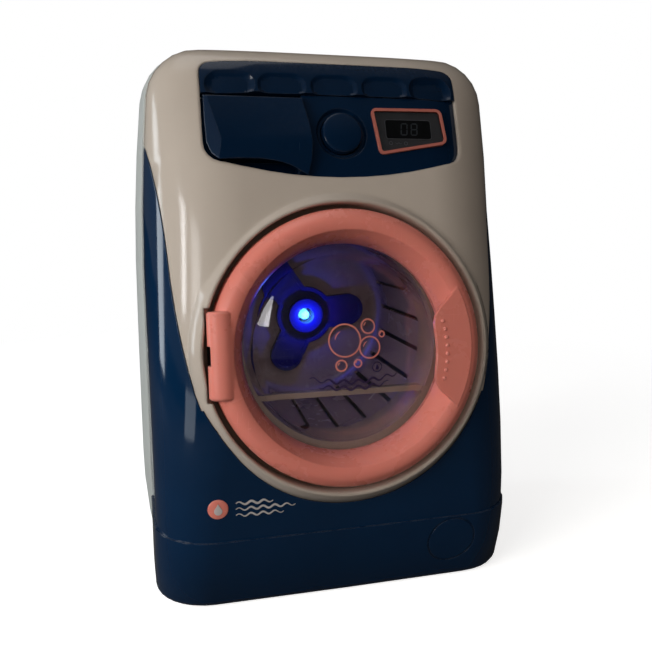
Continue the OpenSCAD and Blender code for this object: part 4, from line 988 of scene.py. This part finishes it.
def screw(centre, axis, head_r, head_h, shank_r, length, turn=0.0):
    """A pan head screw with a cross recess and a threaded shank; axis points from the head to the tip."""
    side = axis.orthogonal().normalized()
    other = axis.cross(side)

    def at(x, y, z):
        return centre + side * x + other * y + axis * z

    n, verts = 40, []
    angles = [2 * math.pi * i / n for i in range(n)]
    for share in HEAD_RINGS:
        for a in angles:
            arm = min(abs(share * math.cos(a)), abs(share * math.sin(a)))
            z = -head_h * (1 - HEAD_FALL * share ** HEAD_CURVE)
            if share < CROSS_REACH and arm < CROSS_ARM:
                z += head_h * CROSS_DEPTH * min(1.0, (CROSS_REACH - share) / CROSS_SLOPE)
            verts.append(at(head_r * share * math.cos(a + turn), head_r * share * math.sin(a + turn), z))
    profile = [(head_r, 0.0), (shank_r, 0.0)]
    turns = max(2, int(length / (shank_r * THREAD_STEP)))
    for k in range(turns):
        profile.append((shank_r * THREAD_ROOT, length * (k + 0.45) / turns))
        profile.append((shank_r, length * (k + 0.9) / turns))
    profile.append((shank_r * THREAD_TIP, length))
    for r, z in profile:
        verts += [at(r * math.cos(a + turn), r * math.sin(a + turn), z) for a in angles]
    verts.append(at(0, 0, -head_h * HEAD_MIDDLE))
    return verts, turned_faces(len(HEAD_RINGS) + len(profile), n)


ALONG, LEANED = (0, 1, 0), (0, math.cos(DOOR_LEAN), -math.sin(DOOR_LEAN))
SCREWS = {"case_screws": ("cabinet", ALONG), "tub_screws": ("cabinet", LEANED),
          "retainer_screws": ("door", LEANED),
          "panel_screws": ("cabinet", (0, math.cos(PANEL_LEAN), -math.sin(PANEL_LEAN))),
          "motor_screws": ("cabinet", ALONG), "battery_door_screw": ("cabinet", ALONG)}


class WASHER_OT_screws(bpy.types.Operator):
    """Adds the cross-recess screws in the places of the plain ones"""

    bl_idname = "toy_washer.screws"
    bl_label = "Screws"

    def execute(self, context):
        for node, (body, out) in SCREWS.items():
            mesh = NODES[node].data
            points = np.array([v.co for v in mesh.vertices])
            parts = []
            for lump in loose_parts(mesh, points):
                parts.append(self.like(points[lump], Vector(out), 0.7 * len(parts)))
            made = piece(node + "_cross", *join(parts), "Zinc plate", body, "steel", limit=38)
            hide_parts(node)
        return {"FINISHED"}

    def like(self, p, axis, turn):
        """A screw with the place and sizes of the plain one that has these points."""
        way = np.array(axis)
        along = p @ way
        low, high = along.min(), along.max()
        middle = (p.max(0) + p.min(0)) / 2
        from_middle = p - middle
        across = np.linalg.norm(from_middle - np.outer(from_middle @ way, way), axis=1)
        head_r = across.max()
        shank_r = across[along < low + 0.0004].max()
        head_h = max(0.0006, high - along[across > head_r * 0.97].min())
        if head_r < shank_r * 1.1:
            head_h = (high - low) * 0.4
        middle = Vector(middle.tolist())
        centre = middle + axis * (high - head_h - axis.dot(middle))
        return screw(centre, -axis, head_r, head_h, shank_r, high - low - head_h, turn)


def loose_parts(mesh, points):
    """Groups of vertices that belong together, joined by place."""
    same = places(points, SAME_SCREW)
    parent = list(range(same.max() + 1))

    def root(i):
        while parent[i] != i:
            parent[i] = parent[parent[i]]
            i = parent[i]
        return i

    for poly in mesh.polygons:
        ids = [root(same[v]) for v in poly.vertices]
        for k in ids[1:]:
            parent[k] = ids[0]
    owner = np.array([root(i) for i in same])
    return [np.flatnonzero(owner == k) for k in np.unique(owner)]


# Lamps that show in gloss: place, aim, size, share of the window lamp's power and colour
PANES = {
    "window_lamp_near": ((-0.62, -0.40, 0.27), (0, -0.02, 0.16), (0.14, 0.24), 1.0, (1.0, 0.98, 0.95)),
    "window_lamp_far": ((-0.655, -0.205, 0.285), (0, -0.02, 0.16), (0.055, 0.17), 0.81, (0.97, 0.98, 1.0)),
    "window_lamp_rear": ((-0.60, 0.20, 0.21), (-0.08, 0, 0.16), (0.12, 0.34), 1.25, (0.85, 0.94, 1.0)),
    "low_lamp": ((-0.52, -0.30, 0.05), (0, -0.02, 0.05), (0.16, 0.08), 0.16, (0.85, 0.94, 1.0)),
}
MIDDLE = (0, 0, 0.12)
DRUM_BLUE = (0.03, 0.07, 1.0)
LAMP_OUT = 0.007
FLOOR_R, FLOOR_GAP = 6.0, 0.0002

# Place of the camera, the way it looks in degrees, and its lens
CAMERA_AT = (-0.0907, -0.3483, 0.1843)
YAW, PITCH, ROLL = (math.radians(a) for a in (15.0, 11.0, 0.27))
SENSOR, LENS = 36.0, 36.0 * 752 / 652


class WASHER_OT_stage(bpy.types.Operator):
    """Sets the floor, surroundings, lamps and camera"""

    bl_idname = "toy_washer.stage"
    bl_label = "Stage"

    def execute(self, context):
        scene, stage = context.scene, context.scene.washer_stage
        self.floor()
        self.surroundings(scene, stage)
        self.lamps(stage)
        self.camera(scene)
        scene.view_settings.view_transform = "Standard"
        return {"FINISHED"}

    def lamps(self, stage):
        for name, (place, aim, size, share, colour) in PANES.items():
            self.lamp(name, place, aim, size, stage.window_power * share, colour)
        self.lamp("top_lamp", (-0.15, 0.10, 0.95), MIDDLE, (0.6, 0.6), stage.top_power, (1.0, 1.0, 1.0))
        for name, place, size, power, colour in (
                ("side_lamp", (-0.89, -0.53, 0.50), (0.8, 0.7), stage.side_power, (1.0, 0.98, 0.95)),
                ("fill_lamp", (-0.25, -1.15, 0.50), (0.7, 0.7), stage.fill_power, (1.0, 0.88, 0.78))):
            soft = self.lamp(name, place, MIDDLE, size, power, colour)
            soft.visible_glossy = soft.visible_transmission = False
        edge, colour = (-0.038, -0.06, 0.13), (1.0, 0.98, 1.0)
        glare = self.lamp("dome_glare", (-0.32, -0.42, 0.36), edge, (0.10, 0.18), stage.glare_power, colour)
        dome = bpy.data.collections.new("dome_only")
        dome.objects.link(NODES["door_window"])
        glare.light_linking.receiver_collection = dome
        place = Vector((0.0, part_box("led")[0][1] - LAMP_OUT, DOOR_Z / 1000))
        light = bpy.data.lights.new("drum_lamp", "POINT")
        light.energy, light.color, light.shadow_soft_size = stage.drum_light * 0.2, DRUM_BLUE, 0.003
        near = new_object("drum_lamp", light)
        near.location = place
        behind = place + Vector((0, 0.01, 0))
        back = self.lamp("hub_lamp", place, behind, (0.004, 0.004), stage.drum_light * 0.8, DRUM_BLUE)
        near.visible_transmission = back.visible_transmission = False

    def floor(self):
        """A round floor that shows as white with the object's shadow."""
        made, net, surface = new_material("Floor white")
        place = net.place()
        rough = net.span(net.noise(place, 6.0, 2.0), 0.3, 0.7, 0.6, 0.75)
        lit = net.add("ShaderNodeBsdfDiffuse", {"Color": (0.86, 0.86, 0.86, 1), "Roughness": rough})
        near = net.add("ShaderNodeAddShader", {0: lit.outputs[0], 1: net.white("ShaderNodeEmission", 0.72)})
        reach = net.add("ShaderNodeVectorMath", {0: place}, operation="LENGTH").outputs["Value"]
        shown = net.mix(net.span(reach, 0.25, 0.6), near.outputs[0], net.white("ShaderNodeEmission", 1.0))
        plain = net.add("ShaderNodeBsdfDiffuse", {"Color": (0.13, 0.125, 0.12, 1)})
        seen = net.add("ShaderNodeLightPath").outputs["Is Camera Ray"]
        net.join(net.mix(seen, plain.outputs[0], shown), surface)
        mesh = bpy.data.meshes.new("floor")
        n = 64
        verts = [(0, 0, 0)] + [(x, y, 0) for x, y in ring(FLOOR_R, n, (0, 0))]
        mesh.from_pydata(verts, [], [[0, 1 + i, 1 + (i + 1) % n] for i in range(n)])
        mesh.materials.append(made)
        obj = new_object("floor", mesh)
        obj.location.z = -FLOOR_GAP

    def surroundings(self, scene, stage):
        """White where it is seen, dim in gloss, and plain light for all other rays."""
        world = bpy.data.worlds.new("surroundings")
        world.use_nodes = True
        world.node_tree.nodes.clear()
        net = Net(world.node_tree)
        path = net.add("ShaderNodeLightPath")
        way = net.add("ShaderNodeTexCoord").outputs["Generated"]
        parts = net.add("ShaderNodeSeparateXYZ", {0: way})
        left = net.span(parts.outputs[0], -0.1, -0.9, 0.0, 0.12)
        above = net.span(parts.outputs[2], 0.60, 1.0, 0.012, 0.13)
        mirrored = net.white("ShaderNodeBackground", net.plus(left, above))
        turned = net.math("GREATER_THAN", path.outputs["Glossy Depth"], 0.5)
        gloss = net.math("MAXIMUM", path.outputs["Is Glossy Ray"], turned)
        lit = net.mix(gloss, net.white("ShaderNodeBackground", stage.room), mirrored)
        through = net.math("SUBTRACT", path.outputs["Is Transmission Ray"], turned, True)
        seen = net.math("MAXIMUM", path.outputs["Is Camera Ray"], through)
        whole = net.mix(seen, lit, net.white("ShaderNodeBackground", 1.0))
        net.join(whole, net.add("ShaderNodeOutputWorld").inputs[0])
        scene.world = world

    def lamp(self, name, place, aim, size, power, colour):
        light = bpy.data.lights.new(name, "AREA")
        light.shape, light.size, light.size_y = "RECTANGLE", size[0], size[1]
        light.energy, light.color = power, colour
        made = new_object(name, light)
        made.location = place
        made.rotation_mode = "QUATERNION"
        made.rotation_quaternion = (Vector(aim) - Vector(place)).to_track_quat("-Z", "Y")
        return made

    def camera(self, scene):
        data = bpy.data.cameras.new("photo_camera")
        data.sensor_width, data.lens = SENSOR, LENS
        data.clip_start = 0.01
        made = new_object("photo_camera", data)
        ahead = Vector((math.sin(YAW) * math.cos(PITCH), math.cos(YAW) * math.cos(PITCH), -math.sin(PITCH)))
        right = Vector((math.cos(YAW), -math.sin(YAW), 0))
        up = right.cross(ahead)
        r = right * math.cos(ROLL) + up * math.sin(ROLL)
        u = up * math.cos(ROLL) - right * math.sin(ROLL)
        turned = Matrix((r, u, -ahead)).transposed().to_4x4()
        made.matrix_world = Matrix.Translation(CAMERA_AT) @ turned
        scene.camera = made


class WASHER_PT_panel(bpy.types.Panel):
    """Lists the steps, sizes and colours of the toy washing machine"""

    bl_idname = "WASHER_PT_panel"
    bl_label = "Toy washing machine"
    bl_space_type = "VIEW_3D"
    bl_region_type = "UI"
    bl_category = "Toy Washer"

    def draw(self, context):
        for step in STEPS:
            self.layout.operator(step.bl_idname)
        for group in (context.scene.washer_sizes, context.scene.washer_colours, context.scene.washer_stage):
            box = self.layout.box()
            for key in group.__annotations__:
                box.prop(group, key)


GROUPS = (WasherSizes, WasherColours, WasherStage)
STEPS = (WASHER_OT_finishes, WASHER_OT_case, WASHER_OT_panel, WASHER_OT_digits, WASHER_OT_door,
         WASHER_OT_window_print, WASHER_OT_badge, WASHER_OT_drum, WASHER_OT_works, WASHER_OT_screws,
         WASHER_OT_stage)


def register():
    for made in GROUPS + STEPS + (WASHER_PT_panel,):
        bpy.utils.register_class(made)
    bpy.types.Scene.washer_sizes = PointerProperty(type=WasherSizes)
    bpy.types.Scene.washer_colours = PointerProperty(type=WasherColours)
    bpy.types.Scene.washer_stage = PointerProperty(type=WasherStage)


def unregister():
    del bpy.types.Scene.washer_stage, bpy.types.Scene.washer_colours, bpy.types.Scene.washer_sizes
    for made in reversed(GROUPS + STEPS + (WASHER_PT_panel,)):
        bpy.utils.unregister_class(made)


def main():
    register()
    bpy.ops.toy_washer.finishes()
    bpy.ops.toy_washer.case()
    bpy.ops.toy_washer.panel()
    bpy.ops.toy_washer.digits()
    bpy.ops.toy_washer.door()
    bpy.ops.toy_washer.window_print()
    bpy.ops.toy_washer.badge()
    bpy.ops.toy_washer.drum()
    bpy.ops.toy_washer.works()
    bpy.ops.toy_washer.screws()
    bpy.ops.toy_washer.stage()


if __name__ == "__main__":
    main()
